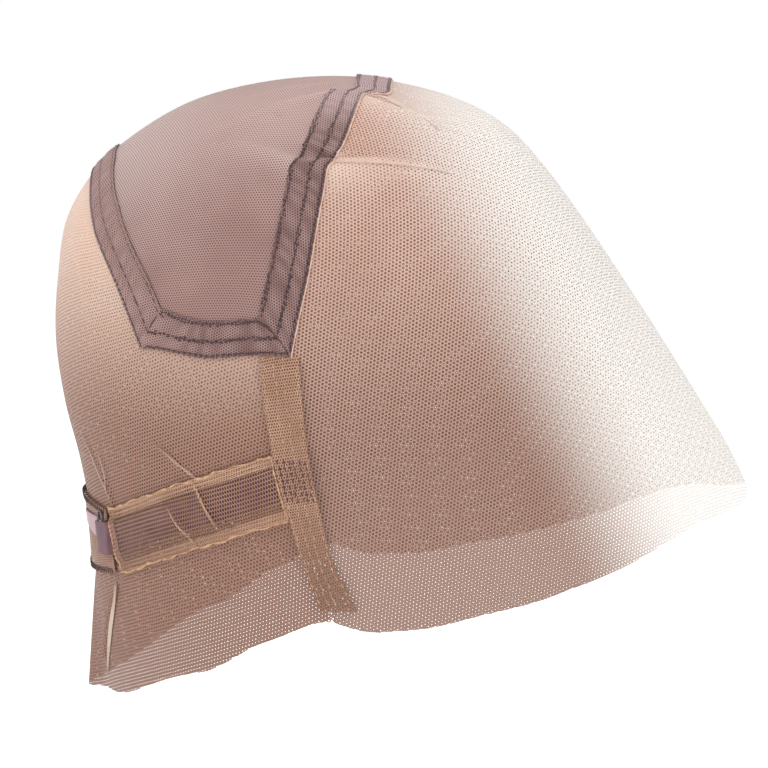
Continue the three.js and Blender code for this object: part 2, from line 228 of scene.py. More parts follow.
def panel(upper, lower, right, left):
    """Spots between four edges: u runs from the wearer's right to the left and v from upper to lower."""

    def spot(u, v):
        u, v = np.broadcast_arrays(np.asarray(u, float), np.asarray(v, float))
        a, b = u[..., None], v[..., None]
        rows = at_share(upper, u) * (1 - b) + at_share(lower, u) * b
        columns = at_share(right, v) * (1 - a) + at_share(left, v) * a
        top = upper[0] * (1 - a) + upper[-1] * a
        bottom = lower[0] * (1 - a) + lower[-1] * a
        return rows + columns - top * (1 - b) - bottom * b

    return spot


def grid_of(spot_at, columns, rows, u_range=(0, 1), v_range=(0, 1)):
    u = np.linspace(*u_range, columns + 1)
    v = np.linspace(*v_range, rows + 1)
    return spot_at(*np.meshgrid(u, v, indexing="ij"))


def faces_between(corner):
    """Four-sided faces between the rows and columns of a grid of point numbers."""
    around = [corner[:-1, :-1], corner[1:, :-1], corner[1:, 1:], corner[:-1, 1:]]
    return np.stack(around, axis=-1).reshape(-1, 4)


def grid_faces(columns, rows):
    return faces_between(np.arange((columns + 1) * (rows + 1)).reshape(columns + 1, rows + 1))


def flat_pattern(points):
    """A grid of cloth laid flat with the least stretch, as it was cut, in millimetres. The middle of
    its first row line is the origin, the last row line lies below it, and its outer face is up."""
    columns, rows = points.shape[0] - 1, points.shape[1] - 1
    faces = grid_faces(columns, rows)
    mesh = bpy.data.meshes.new("pattern")
    mesh.from_pydata((points.reshape(-1, 3) * MM).tolist(), [], faces.tolist())
    pattern = bpy.data.objects.new("pattern", mesh)
    bpy.context.scene.collection.objects.link(pattern)
    bpy.context.view_layer.objects.active = pattern
    pattern.select_set(True)
    bpy.ops.object.mode_set(mode="EDIT")
    bpy.ops.mesh.select_all(action="SELECT")
    bpy.ops.uv.unwrap(method="MINIMUM_STRETCH", margin=0)
    bpy.ops.object.mode_set(mode="OBJECT")
    place = np.empty(2 * len(mesh.loops), np.float32)
    mesh.uv_layers.active.data.foreach_get("uv", place)
    corner = np.empty(len(mesh.loops), np.int32)
    mesh.loops.foreach_get("vertex_index", corner)
    flat = np.empty((len(mesh.vertices), 2))
    flat[corner] = place.reshape(-1, 2)
    bpy.data.objects.remove(pattern)
    bpy.data.meshes.remove(mesh)
    world = points.reshape(-1, 3)
    across = world[faces[:, 2]] - world[faces[:, 0]]
    down = world[faces[:, 3]] - world[faces[:, 1]]
    facing = np.cross(across, down)
    flat_across = flat[faces[:, 2]] - flat[faces[:, 0]]
    flat_down = flat[faces[:, 3]] - flat[faces[:, 1]]
    flat_facing = flat_across[:, 0] * flat_down[:, 1] - flat_across[:, 1] * flat_down[:, 0]
    outward = world[faces[:, 0]] - FORM_MIDDLE
    if (facing * outward).sum() * flat_facing.sum() < 0:
        flat[:, 0] *= -1
    flat *= math.sqrt(np.linalg.norm(facing, axis=1).sum() / np.abs(flat_facing).sum())
    net_flat = flat.reshape(columns + 1, rows + 1, 2)
    middle = columns // 2
    flat -= net_flat[middle, 0]
    run = net_flat[middle, -1]
    turn = np.array([[-run[1], run[0]], [-run[0], -run[1]]]) / np.linalg.norm(run)
    return flat @ turn.T


def net(spots, place, pitch, thread, turn=0, stretch=(1, 1), seed=1, thin=None):
    """A hexagon net of flat threads over a grid of spots. Its holes are laid out evenly on the flat
    pattern, with the rows turned, and each thread is then carried to its place on the cloth. Where the
    cloth is drawn thin, thin gives the share of the thread's width that is left at each point."""
    columns, rows = spots.shape[0] - 1, spots.shape[1] - 1
    flat = flat_pattern(place(spots))
    quads = grid_faces(columns, rows)
    triangles = np.concatenate([quads[:, [0, 1, 2]], quads[:, [0, 2, 3]]])
    tree = BVHTree.FromPolygons(
        np.column_stack([flat, np.zeros(len(flat))]).tolist(), triangles.tolist()
    )
    c, s = math.cos(math.radians(turn)), math.sin(math.radians(turn))
    lay = pitch * np.array([[c, -s], [s, c]]) @ np.diag(stretch)
    back = np.linalg.inv(lay)
    reach = flat @ back.T
    row_step = math.sqrt(3) / 2
    (least_x, least_y), (most_x, most_y) = reach.min(0), reach.max(0)
    lean = most_y - least_y
    i = np.arange(math.floor(least_x - lean) - NET_MARGIN, math.ceil(most_x + lean) + NET_MARGIN)
    j = np.arange(math.floor(least_y / row_step) - NET_MARGIN, math.ceil(most_y / row_step) + NET_MARGIN)
    i, j = np.meshgrid(i, j, indexing="ij")
    centre = np.stack([i + j / 2, j * row_step], axis=-1)
    strand = 1 / math.sqrt(3)
    rng = np.random.default_rng(seed)
    knots, around = [], []
    for up in (1, -1):
        knot = centre + (0, up * strand) + rng.normal(0, KNOT_WANDER, centre.shape)
        angle = np.radians(np.array([30, 150, 270]) + (0 if up > 0 else 60))
        ways = thread / pitch / math.sqrt(3) * np.stack([np.cos(angle), np.sin(angle)], axis=-1)
        knots.append(knot @ lay.T)
        around.append(np.broadcast_to(ways @ lay.T, knot.shape[:2] + (3, 2)))
    knots, around = np.stack(knots), np.stack(around)
    low, high = flat.min(0), flat.max(0)
    trim = CUT_REACH * pitch
    near = np.all((knots > low - trim) & (knots < high + trim), axis=-1)
    face = np.full(near.shape, -1)
    whole = np.ones(near.shape)
    down = Vector((0, 0, -1))
    for at in map(tuple, np.argwhere(near)):
        x, y = knots[at]
        hit = tree.ray_cast(Vector((x, y, 1)), down)[2]
        if hit is None:
            edge, _, hit, _ = tree.find_nearest(Vector((x, y, 0)), trim)
            if hit is not None:
                knots[at] = edge.xy
                whole[at] = CUT_THREAD
        if hit is not None:
            face[at] = hit
    held = face >= 0
    index = np.full(held.shape, -1)
    index[held] = np.arange(held.sum())
    first, second, third = (flat[triangles[:, k]] for k in range(3))
    spot_list = spots.reshape(-1, 2)
    start = spot_list[triangles[:, 0]]
    sides = np.stack([second - first, third - first], axis=-1)
    ways = np.stack([spot_list[triangles[:, 1]] - start, spot_list[triangles[:, 2]] - start], axis=-1)
    carry = ways @ np.linalg.inv(sides)
    on = face[held]
    knot_spots = start[on] + np.einsum("nab,nb->na", carry[on], knots[held] - first[on])
    width = np.ones(len(on)) if thin is None else thin(form_point(knot_spots))
    step = around[held] * (whole[held] * width)[:, None, None]
    pattern_place = knots[held][:, None, :] + step
    corner_spots = knot_spots[:, None, :] + np.einsum("nab,nkb->nka", carry[on], step)
    points = place(corner_spots.reshape(-1, 2))
    upper, lower = index
    strands = []
    for shift, ring in (
        ((-1, 2), (0, 2, 1, 1)),
        ((-1, 1), (1, 0, 2, 2)),
        ((0, 1), (2, 1, 0, 0)),
    ):
        other = np.roll(lower, (-shift[0], -shift[1]), axis=(0, 1))
        both = (upper >= 0) & (other >= 0)
        a, b = 3 * upper[both], 3 * other[both]
        strands.append(np.stack([a + ring[0], b + ring[1], b + ring[2], a + ring[3]], axis=-1))
    strands = np.concatenate(strands)
    joined = np.unique(strands // 3)
    knot_faces = 3 * joined[:, None] + np.arange(3)
    return {
        "points": points,
        "flat": pattern_place.reshape(-1, 2),
        "faces": [knot_faces, strands],
        "spots": corner_spots.reshape(-1, 2),
        "light_and_shade": np.zeros(len(points)),
        "weave": pattern_place.reshape(-1, 2) @ back.T,
    }


def new_piece(name, points, faces, finish, slot, cut=None):
    """A piece of the object from points in millimetres and groups of faces with equal corners. A net keeps
    its flat pattern, its painted light and shade, and its place in the weave for its material."""
    mesh = bpy.data.meshes.new(name)
    corners = [face for group in faces for face in group.tolist()]
    mesh.from_pydata((points * MM).tolist(), [], corners)
    mesh.shade_smooth()
    mesh.materials.append(finish.material)
    if cut is not None:
        order = np.empty(len(mesh.loops), np.int32)
        mesh.loops.foreach_get("vertex_index", order)
        place = cut["flat"] - cut["flat"].min(0)
        layer = mesh.uv_layers.new(name="OFBake")
        layer.data.foreach_set("uv", (place / place.max())[order].astype(np.float32).ravel())
        layer = mesh.attributes.new("light_and_shade", "FLOAT", "POINT")
        layer.data.foreach_set("value", cut["light_and_shade"].astype(np.float32))
        layer = mesh.attributes.new("weave", "FLOAT_VECTOR", "POINT")
        weave = np.column_stack([cut["weave"], np.zeros(len(points))])
        layer.data.foreach_set("vector", weave.astype(np.float32).ravel())
    piece = bpy.data.objects.new(name, mesh)
    bpy.context.scene.collection.objects.link(piece)
    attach(piece, "root")
    return piece


def slab(outer, inner, ring=False):
    """A closed wall between two grids of points, or a closed ring of wall."""
    columns, rows = outer.shape[0], outer.shape[1]
    corner = np.arange(columns * rows).reshape(columns, rows)
    if ring:
        corner = np.concatenate([corner, corner[:1]])
        rims = [corner[:, 0], corner[::-1, -1]]
    else:
        loop = [corner[:, 0], corner[-1, 1:], corner[-2::-1, -1], corner[0, -2::-1]]
        rims = [np.concatenate(loop)]
    top = faces_between(corner)
    count = columns * rows
    sides = [np.stack([rim[:-1], rim[:-1] + count, rim[1:] + count, rim[1:]], axis=-1) for rim in rims]
    points = np.concatenate([outer.reshape(-1, 3), inner.reshape(-1, 3)])
    faces = np.concatenate([top, (top + count)[:, ::-1]] + sides)
    across = points[top[:, 2]] - points[top[:, 0]]
    down = points[top[:, 3]] - points[top[:, 1]]
    outward = points[top[:, 0]] - points[top[:, 0] + count]
    if (np.cross(across, down) * outward).sum() < 0:
        faces = faces[:, ::-1]
    return points, [faces]


def flat_size(cut):
    return cut["flat"].max(0) - cut["flat"].min(0)


def sew_net(name, cut, finish, slot, node, size=None):
    """A net as a piece of the object, in place of a part of the model, which it hides."""
    piece = new_piece(name, cut["points"], cut["faces"], finish, slot, cut)
    across, down = flat_size(cut) if size is None else size
    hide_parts(node)


class Amount:
    """A number that changes over a surface: a socket, with arithmetic that adds Math nodes."""

    def __init__(self, socket):
        self.socket = socket

    def math(self, operation, *others, place=0):
        node = self.socket.node.id_data.nodes.new("ShaderNodeMath")
        node.operation = operation
        values = list(others)
        values.insert(place, self)
        for entry, value in zip(node.inputs, values):
            connect(entry, value)
        return Amount(node.outputs[0])

    def __add__(self, other):
        return self.math("ADD", other)

    def __radd__(self, other):
        return self.math("ADD", other)

    def __sub__(self, other):
        return self.math("SUBTRACT", other)

    def __rsub__(self, other):
        return self.math("SUBTRACT", other, place=1)

    def __mul__(self, other):
        return self.math("MULTIPLY", other)

    def __rmul__(self, other):
        return self.math("MULTIPLY", other)

    def __pow__(self, other):
        return self.math("POWER", other)


def connect(entry, value):
    if isinstance(value, Amount):
        entry.id_data.links.new(value.socket, entry)
    else:
        entry.default_value = value


def paint(code):
    """A colour's light values from its six digits."""
    tones = [int(code[k : k + 2], 16) / 255 for k in (0, 2, 4)]
    light = [tone / 12.92 if tone <= 0.04045 else ((tone + 0.055) / 1.055) ** 2.4 for tone in tones]
    return (*light, 1)


class Finish:
    """A material: its shader, with settings that are even all over, and the nodes that feed it."""

    def __init__(self, name, **settings):
        self.material = bpy.data.materials.new(name)
        self.material.use_nodes = True
        self.tree = self.material.node_tree
        self.shader = self.tree.nodes["Principled BSDF"]
        for entry, value in settings.items():
            self.shader.inputs[entry.replace("_", " ")].default_value = value

    def node(self, kind, settings, entries, output=0):
        node = self.tree.nodes.new(kind)
        for name, value in settings.items():
            setattr(node, name, value)
        for entry, value in entries.items():
            connect(node.inputs[entry], value)
        return Amount(node.outputs[output])

    def place(self):
        return self.node("ShaderNodeTexCoord", {}, {}, "Object")

    def axis(self, name):
        return self.node("ShaderNodeSeparateXYZ", {}, {"Vector": self.place()}, name)

    def noise(self, scale, detail=3, stretch=(1, 1, 1)):
        spread = {"Vector": self.place(), "Scale": stretch}
        spot = self.node("ShaderNodeMapping", {"vector_type": "POINT"}, spread)
        entries = {"Vector": spot, "Scale": scale, "Detail": detail}
        return self.node("ShaderNodeTexNoise", {}, entries)

    def ramp(self, amount, low, high):
        entries = {"Value": amount, "From Min": low, "From Max": high}
        return self.node("ShaderNodeMapRange", {"interpolation_type": "SMOOTHSTEP"}, entries)

    def mix(self, share, first, second):
        entries = {0: share, 6: first, 7: second}
        return self.node("ShaderNodeMix", {"data_type": "RGBA"}, entries, 2)

    def cloudy(self, scale, first, second, spread=0.2):
        """Two colours in soft clouds, where spread is how far one fades into the other."""
        cloud = self.ramp(self.noise(scale), 0.5 - spread, 0.5 + spread)
        return self.mix(cloud, paint(first), paint(second))

    # Painted light and shade of a net's points: above zero it paints a highlight, below zero it paints shade.
    def light_and_shade(self):
        return self.node("ShaderNodeAttribute", {"attribute_name": "light_and_shade"}, {}, "Fac")

    def thread(self, low, high):
        """How near the middle of a net's thread is, from the edge of the hole to the thread's crown. The
        materials use it to paint shade along the thread's edges beside the holes.
        """
        spot = self.node("ShaderNodeAttribute", {"attribute_name": "weave"}, {}, "Vector")
        x = self.node("ShaderNodeSeparateXYZ", {}, {"Vector": spot}, "X")
        y = self.node("ShaderNodeSeparateXYZ", {}, {"Vector": spot}, "Y") * (1 / math.sqrt(3))
        squares = []
        for shift in (0, 0.5):
            across = (x + shift).math("FRACT") - 0.5
            down = ((y + shift).math("FRACT") - 0.5) * math.sqrt(3)
            squares.append(across * across + down * down)
        return self.ramp(squares[0].math("MINIMUM", squares[1]) ** 0.5, low, high)

    def raise_by(self, height, depth):
        entries = {"Height": height, "Strength": 1.0, "Distance": depth}
        connect(self.shader.inputs["Normal"], self.node("ShaderNodeBump", {}, entries))

    def colour(self, amount):
        connect(self.shader.inputs["Base Color"], amount)

    def rough(self, amount):
        connect(self.shader.inputs["Roughness"], amount)


def plain_finish(name, clouds, first, second, grain, depth, spread=0.2, **settings):
    """Two colours in soft clouds, with a fine grain of a depth in metres."""
    finish = Finish(name, **settings)
    finish.colour(finish.cloudy(clouds, first, second, spread))
    finish.raise_by(finish.noise(grain), depth)
    return finish


crown_mesh = Finish("crown_mesh", Roughness=0.75, Sheen_Weight=0.25)
crown_worn = crown_mesh.cloudy(45, "b48d86", "c5a098")
# Painted light: the top of the crown is painted lighter, and its upper back has a painted highlight.
crown_top = crown_mesh.ramp(crown_mesh.axis("Z"), -0.045, -0.005)
crown_lit = crown_mesh.mix(0.7 * crown_top, crown_worn, paint("d2b4ae"))
crown_high = crown_mesh.ramp(crown_mesh.axis("Z"), -0.07, -0.02)
crown_back_highlight = crown_mesh.ramp(-1 * crown_mesh.axis("X"), 0.025, 0.085) * crown_high
crown_lit = crown_mesh.mix(0.8 * crown_back_highlight, crown_lit, paint("e6d0cb"))
# Lighter on the fold crests, partly the mesh stretched thin there and partly a painted highlight.
crown_lit = crown_mesh.mix(0.9 * crown_mesh.light_and_shade(), crown_lit, paint("dcc2bc"))
# Painted shade at the edges of the threads beside the holes, lighter towards the top.
crown_thread_shade = crown_mesh.mix(crown_top, paint("86625c"), paint("b3918a"))
crown_mesh.colour(crown_mesh.mix(crown_mesh.thread(0.2, 0.5), crown_thread_shade, crown_lit))
crown_mesh.rough(0.66 + 0.2 * crown_mesh.noise(900))

crown_right, crown_left = down_side(CROWN_BOTTOM[::-1], -1), down_side(CROWN_BOTTOM[::-1])
crown_back, crown_front = across_cap(CROWN_BACK), across_cap(CROWN_FRONT)
crown_at = panel(crown_back, crown_front, crown_right, crown_left)


def hem_share(line_at):
    """Share of a line over the crown that the hem takes up at the line's start."""
    probe = 0.05
    start, end = form_point(line_at(0.0)), form_point(line_at(probe))
    return HEM_WIDTH * probe / np.linalg.norm(end - start, axis=-1)


def hem_shares(u, v):
    return (
        hem_share(lambda t: crown_at(t, v)),
        hem_share(lambda t: crown_at(1 - t, v)),
        hem_share(lambda t: crown_at(u, t)),
        hem_share(lambda t: crown_at(u, 1 - t)),
    )


def inside_hem(u, v, depth=1.0):
    """Spots of the crown, from the lines that lie at a depth of the hem's width on all four sides."""
    right, left, back, front = (depth * share for share in hem_shares(u, v))
    return crown_at(right + u * (1 - left - right), back + v * (1 - front - back))


CROWN_NET_DEPTH = 0.92
CROWN_CUT_SHARE = 0.7
SHADE_SHEET_OVER, SHADE_SHEET_UNDER = 0.2, 0.0
crown_grid = grid_of(lambda u, v: inside_hem(u, v, CROWN_NET_DEPTH), 96, 64)
crown_cut = net(crown_grid, at_lift(CROWN_LIFT), CROWN_PITCH, CROWN_THREAD, CROWN_TURN, seed=3)
# How strongly each point gets the painted highlight of the crests.
crown_cut["light_and_shade"] = crest(crown_cut["spots"])
# Painted shade: a dark sheet under the crown's net, which its holes show dark.
crown_shade_sheet = plain_finish(
    "crown_shade_sheet", 60, "634743", "745752", 1600, 0.0001, Roughness=0.85, Sheen_Weight=0.15
)
shade_sheet_wall = slab(cloth(crown_grid, SHADE_SHEET_OVER), cloth(crown_grid, SHADE_SHEET_UNDER))
shade_sheet_piece = new_piece("crown_panel_shade_sheet", *shade_sheet_wall, crown_shade_sheet, "crown_mesh")
crown_flat = flat_size(crown_cut)
crown_area = CROWN_CUT_SHARE * float(crown_flat[0] * crown_flat[1])
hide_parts("crown_panel")
sew_net(
    "crown_panel_mesh", crown_cut, crown_mesh, "crown_mesh", "crown_panel",
)

# Front lace
# Large sheet of sheer tan hexagon net, sewn under the front of the crown with knife pleats, and standing
# forward like a tent. Its lower edge is raw, with the cut threads left free.
EAR_SEAM = table(EDGE, [(98, 88), (98, 119), (95.6, 143), (93, 158), (90.4, 177)])
FRONT_HEM = table(
    EDGE, [(0, 142.5), (20, 147), (43.5, 157), (60, 169.5), (74, 177.5), (84, 180.5), (90.4, 177)]
)
LACE_LIFT = 0.4
LACE_PITCH = 1.28
LACE_THREAD = 0.92
LACE_DRAWN = (0.96, 1.04)
FRONT_ACROSS, FRONT_DOWN = (0.004, 0.996), (-0.02, 1)
CREASE_PITCH, CREASE_THREAD = LACE_PITCH * 0.7, LACE_PITCH * 0.45
CREASE_RUN, CREASE_STEP, CREASE_FADE = (0.01, 0.99), 0.01, 0.8
THIN_REACH, THIN_SHARE = 50, 0.34
ear_seam_left, ear_seam_right = down_side(EAR_SEAM), down_side(EAR_SEAM, -1)
front_edge = np.concatenate([ear_seam_right[::-1], crown_front[1:], ear_seam_left[1:]])
front_hem = across_cap(FRONT_HEM)


def front_at(u, v):
    return at_share(front_edge, u) * (1 - v[..., None]) + at_share(front_hem, u) * v[..., None]


def lace_finish(name, tan, worn, low_shade, pale, between):
    """Matt tan thread with painted light: paler towards the front, where the sheet is thinnest and light
    comes through it, and painted shade towards the bottom and at the threads' edges beside the holes.
    """
    finish = Finish(name, Roughness=0.7, Sheen_Weight=0.15)
    toward_front = finish.ramp(finish.axis("X") + 0.5 * finish.axis("Z"), 0.0, 0.05)
    low = finish.ramp(-1 * finish.axis("Z"), 0.035, 0.125)
    thread = finish.mix(low, finish.cloudy(38, tan, worn), paint(low_shade))
    sheet = finish.mix(toward_front, thread, paint(pale))
    # Painted highlight on the folds.
    sheet = finish.mix(finish.light_and_shade(), sheet, paint("f3decb"))
    # Painted shade between the threads, darker towards the bottom and pale towards the front.
    shade = finish.mix(low, paint(between), paint("6b473c"))
    shade = finish.mix(toward_front, shade, paint("fdf3ea"))
    finish.colour(finish.mix(finish.thread(0.24, 0.46) + 2 * finish.light_and_shade(), shade, sheet))
    finish.rough(0.6 + 0.25 * finish.noise(1500))
    return finish


def part_of(cut, keep):
    """The faces of a net that are kept, with the points that they use."""
    faces = [group[keep(cut["spots"][group].mean(1))] for group in cut["faces"]]
    used = np.unique(np.concatenate([group.ravel() for group in faces]))
    order = np.full(len(cut["points"]), -1)
    order[used] = np.arange(len(used))
    taken = {key: values[used] for key, values in cut.items() if key != "faces"}
    return {**taken, "faces": [order[group] for group in faces]}


def laid_on(*cuts):
    """Several nets as one."""
    shift = np.cumsum([0] + [len(cut["points"]) for cut in cuts])
    faces = [[group + move for group in cut["faces"]] for cut, move in zip(cuts, shift)]
    whole = {key: np.concatenate([cut[key] for cut in cuts]) for key in cuts[0] if key != "faces"}
    return {**whole, "faces": [np.concatenate(groups) for groups in zip(*faces)]}


def shares(along, across):
    """Spots of a share along a piece and a share across it."""
    return np.stack([along, across], axis=-1)


def crease_net(line, width, lift, seed, light_and_shade):
    """The doubled lace along a crease, a close narrow net that tapers out at both ends, with a painted
    highlight that fades out towards them.
    """
    spots = spline(plan(*np.array(line, float).T))
    share = np.linspace(0, 1, len(spots))

    def place(params):
        run = np.clip(params[..., 0], *CREASE_RUN)
        spot, ahead, behind = (
            np.stack([np.interp(run + step, share, spots[:, k]) for k in range(2)], axis=-1)
            for step in (0, CREASE_STEP, -CREASE_STEP)
        )
        side = np.cross(form_normal(spot), form_point(ahead) - form_point(behind))
        side /= np.linalg.norm(side, axis=-1, keepdims=True)
        taper = np.sqrt(np.sin(np.pi * run))
        height = np.interp(run, np.linspace(0, 1, np.size(lift)), np.atleast_1d(lift))
        return cloth(spot, height) + side * (params[..., 1] * taper * width / 2)[..., None]

    grid = grid_of(shares, 60, 4, CREASE_RUN, (-1, 1))
    cut = net(grid, place, CREASE_PITCH, CREASE_THREAD, turn=30, seed=seed)
    fade = np.sin(np.pi * np.clip(cut["spots"][:, 0], 0, 1)) ** CREASE_FADE
    return {**cut, "spots": cut["points"][:, :2], "light_and_shade": light_and_shade * fade}


def both_sides(lines, width, lift, seed, light_and_shade):
    """The nets of some creases on both sides of the cap."""
    cuts = []
    for k, line in enumerate(lines):
        for hand in (-1, 1):
            turned = [(hand * angle, drop) for angle, drop in line]
            cuts.append(crease_net(turned, width, lift, seed + k, light_and_shade))
    return cuts


PLEATS = (
    ((91, 26.3), (84, 26), (71, 26.8), (56.6, 29.8)),
    ((74, 6.4), (61.8, 7.6), (55.6, 11.7), (52.8, 16.4)),
    ((67, 5.9), (62, 7), (56.3, 9.2)),
)
front_thread = lace_finish("front_lace_thread", "d9b2a1", "e4c1b1", "bf9886", "fffaf4", "9a6e5d")
front_grid = grid_of(front_at, 180, 90, FRONT_ACROSS, FRONT_DOWN)


def drawn_thin(points):
    """The sheet is drawn tight towards its front edge, so its threads are thinner there."""
    forward = np.clip((points[..., 0] + points[..., 2] / 2) / THIN_REACH, 0, 1)
    return 1 - THIN_SHARE * forward


front_cut = net(
    front_grid, at_lift(LACE_LIFT), LACE_PITCH, LACE_THREAD, 45, LACE_DRAWN, seed=5, thin=drawn_thin
)
# Painted highlight on the crests of the folds and along the pleats.
front_cut["light_and_shade"] = 0.4 * crest(front_cut["spots"])
pleats = both_sides(PLEATS, width=1.2, lift=LACE_LIFT + 0.3, seed=200, light_and_shade=0.4)
front_sheet = laid_on(front_cut, *pleats)
HALVES = {"right": lambda spots: spots[:, 1] < 0, "left": lambda spots: spots[:, 1] >= 0}
for side, keep in HALVES.items():
    sew_net(
        f"front_lace_{side}", part_of(front_sheet, keep), front_thread, "lace", "front_lace",
        size=flat_size(part_of(front_cut, keep)),
    )

# Back lace
# The same net behind and below the crown, round the back of the cap from ear to ear. It stands out in
# a fold at the middle of the nape, and its lower edge is raw.
BACK_HEM = table(EDGE, [(180, 213), (160, 211), (142, 205.5), (122, 196.5), (105, 184), (90.4, 177)])
BACK_ACROSS, BACK_DOWN = (-0.004, 1.004), (-0.015, 1)
back_edge = np.concatenate([down_side(CROWN_BOTTOM, -1), crown_back[1:], crown_left[1:]])
back_at = panel(back_edge, across_cap(BACK_HEM), ear_seam_right, ear_seam_left)
# The same net as the front, painted paler as a painted highlight from the light behind and above.
back_thread = lace_finish("back_lace_thread", "fbdac6", "ffe6d6", "b08570", "f8e3d3", "eec5ae")
back_grid = grid_of(back_at, 150, 90, BACK_ACROSS, BACK_DOWN)
back_cut = net(back_grid, at_lift(LACE_LIFT), LACE_PITCH, LACE_THREAD, 15, LACE_DRAWN, seed=7)
CREASES = (
    ((129.6, 119.3), (124.3, 125.4), (119.3, 131.7), (117, 139.2)),
    ((158.5, 122), (155.2, 132), (150.5, 142.5)),
    ((152.3, 124.4), (150.4, 141.8)),
)
NAPE_CREASES = (
    ((150.2, 170.4), (154.6, 179.6), (158.6, 189.8), (161.6, 198), (163.6, 206)),
)
# The creases carry a painted highlight, strongest on the fold at the nape.
folds = both_sides(CREASES, width=0.8, lift=LACE_LIFT + 0.3, seed=210, light_and_shade=0.35)
folds += both_sides(NAPE_CREASES, width=3.4, lift=LACE_LIFT + 0.4, seed=220, light_and_shade=0.9)
back_sheet = laid_on(back_cut, *folds)
for side, keep in HALVES.items():
    sew_net(
        f"back_lace_{side}", part_of(back_sheet, keep), back_thread, "lace", "back_lace",
        size=flat_size(part_of(back_cut, keep)),
    )

# Crown hem
# The crown mesh turned under all round to a border of about twelve millimetres, which lies over the edge
# of the lace. Three rows of dark stitches hold it, with an overlocked edge, and they pull it into puckers.
HEM_LINES = (0.07, 0.45, 0.93)
HEM_SIDES = {
    "back": lambda s, t: inside_hem(s, 0 * s, t),
    "left": lambda s, t: inside_hem(1 + 0 * s, s, t),
    "front": lambda s, t: inside_hem(1 - s, 1 + 0 * s, t),
    "right": lambda s, t: inside_hem(0 * s, 1 - s, t),
}
HEM_PINCH = {"back": 0.5, "left": 0.45, "front": 0.45, "right": 0.45}
HEM_PUCKER = {"back": 4.6, "left": 7, "front": 6, "right": 7}
HEM_SLACK_DROP = 60
HEM_LIFT = {"under": 0.55, "roll": 0.75, "outer": 1.0, "net": 1.15, "stitch": 1.3, "mitre": 1.35}
HEM_ROWS, HEM_NET_ROWS = 10, 12
HEM_EDGE, HEM_EDGE_DIP = 0.03, 0.3
HEM_TURNING = 1.1
HEM_MITRE = np.linspace(0.08, 0.95, 9)
HEM_MITRE_RADIUS = 0.28
SEAM = "line stitch gap radius wander slant"
HEM_FINE_SEAMS = table(SEAM, [(line, 1.9, 0.5, 0.17, 0.006, 0) for line in HEM_LINES[1:]])
HEM_SEAMS = table(SEAM, [(line, 1.3, 0.3, 0.27, 0.02, 0) for line in (0.43, 0.47, 0.91, 0.95)])
HEM_OVERLOCK = table(SEAM, [(HEM_LINES[0], 1.5, 0.25, 0.2, 0.012, 0), (0.11, 0.9, 0.75, 0.2, 0, -0.13)])
LACE_ROLL_STEPS, LACE_ROLL_ACROSS, LACE_ROLL_RADIUS = 420, -0.05, 0.4
LIT_TOP = (-0.016, -0.003)


def run_length(line_at):
    """Length in millimetres of a line of spots on the form."""
    points = form_point(line_at(np.linspace(0, 1, 200)))
    return float(np.linalg.norm(np.diff(points, axis=0), axis=1).sum())


hem_length = {name: run_length(lambda s, at=at: at(s, 0 * s + 0.5)) for name, at in HEM_SIDES.items()}


def hem_puff(side, s, t):
    """How the hem puffs up between its rows of stitches, and the wave of its puckers."""
    run = s * hem_length[side] / HEM_PUCKER[side]
    wave = np.sin(2 * np.pi * (run + 0.3 * np.sin(1.7 * run) + 0.6 * t))
    return np.abs(np.sin(np.pi * np.interp(t, HEM_LINES, (0, 1, 2)))), wave


def hem_place(side, lift):
    """Points of one side of the hem at shares along and across it. It has less slack near the top."""

    def place(spots):
        s, t = spots[..., 0], spots[..., 1]
        puff, wave = hem_puff(side, s, t)
        hem_spots = HEM_SIDES[side](s, t)
        slack = np.clip((hem_spots**2).sum(-1) / HEM_SLACK_DROP, 0.3, 1)
        return cloth(hem_spots, lift + slack * puff * (0.5 + HEM_PINCH[side] * wave))

    return place


def tube(path, normals, radius, sides=7):
    """A round cord along a line of points, with closed ends."""
    forward = np.gradient(path, axis=0)
    forward /= np.linalg.norm(forward, axis=1, keepdims=True)
    side = np.cross(normals, forward)
    side /= np.linalg.norm(side, axis=1, keepdims=True)
    upward = np.cross(forward, side)
    angle = 2 * np.pi * np.arange(sides) / sides
    round_at = np.cos(angle)[None, :, None] * side[:, None] + np.sin(angle)[None, :, None] * upward[:, None]
    points = path[:, None] + np.broadcast_to(radius, len(path))[:, None, None] * round_at
    corner = np.arange(len(path) * sides).reshape(len(path), sides)
    turned = np.roll(corner, -1, axis=1)
    walls = np.stack([corner[:-1], turned[:-1], turned[1:], corner[1:]], axis=-1).reshape(-1, 4)
    return points.reshape(-1, 3), [walls, corner[:1, ::-1], corner[-1:]]


def joined_up(parts):
    """Several meshes as one. Each has points and groups of faces with equal corners."""
    points, faces, count = [], [], 0
    for part_points, part_faces in parts:
        points.append(part_points)
        faces += [group + count for group in part_faces]
        count += len(part_points)
    return np.concatenate(points), faces


# One stitch, a short thread that is thickest in the middle and dips into the cloth at both ends
bpy.ops.mesh.primitive_uv_sphere_add(segments=4, ring_count=4, radius=1)
stitch = bpy.context.object
bpy.ops.object.mode_set(mode="EDIT")
bpy.ops.transform.rotate(value=math.pi / 2, orient_axis="Y", center_override=(0, 0, 0))
bpy.ops.object.mode_set(mode="OBJECT")
STITCH_POINTS = np.array([vertex.co for vertex in stitch.data.vertices])
STITCH_FACES = [
    np.array([list(face.vertices) for face in stitch.data.polygons if len(face.vertices) == corners])
    for corners in (3, 4)
]
bpy.data.objects.remove(stitch)


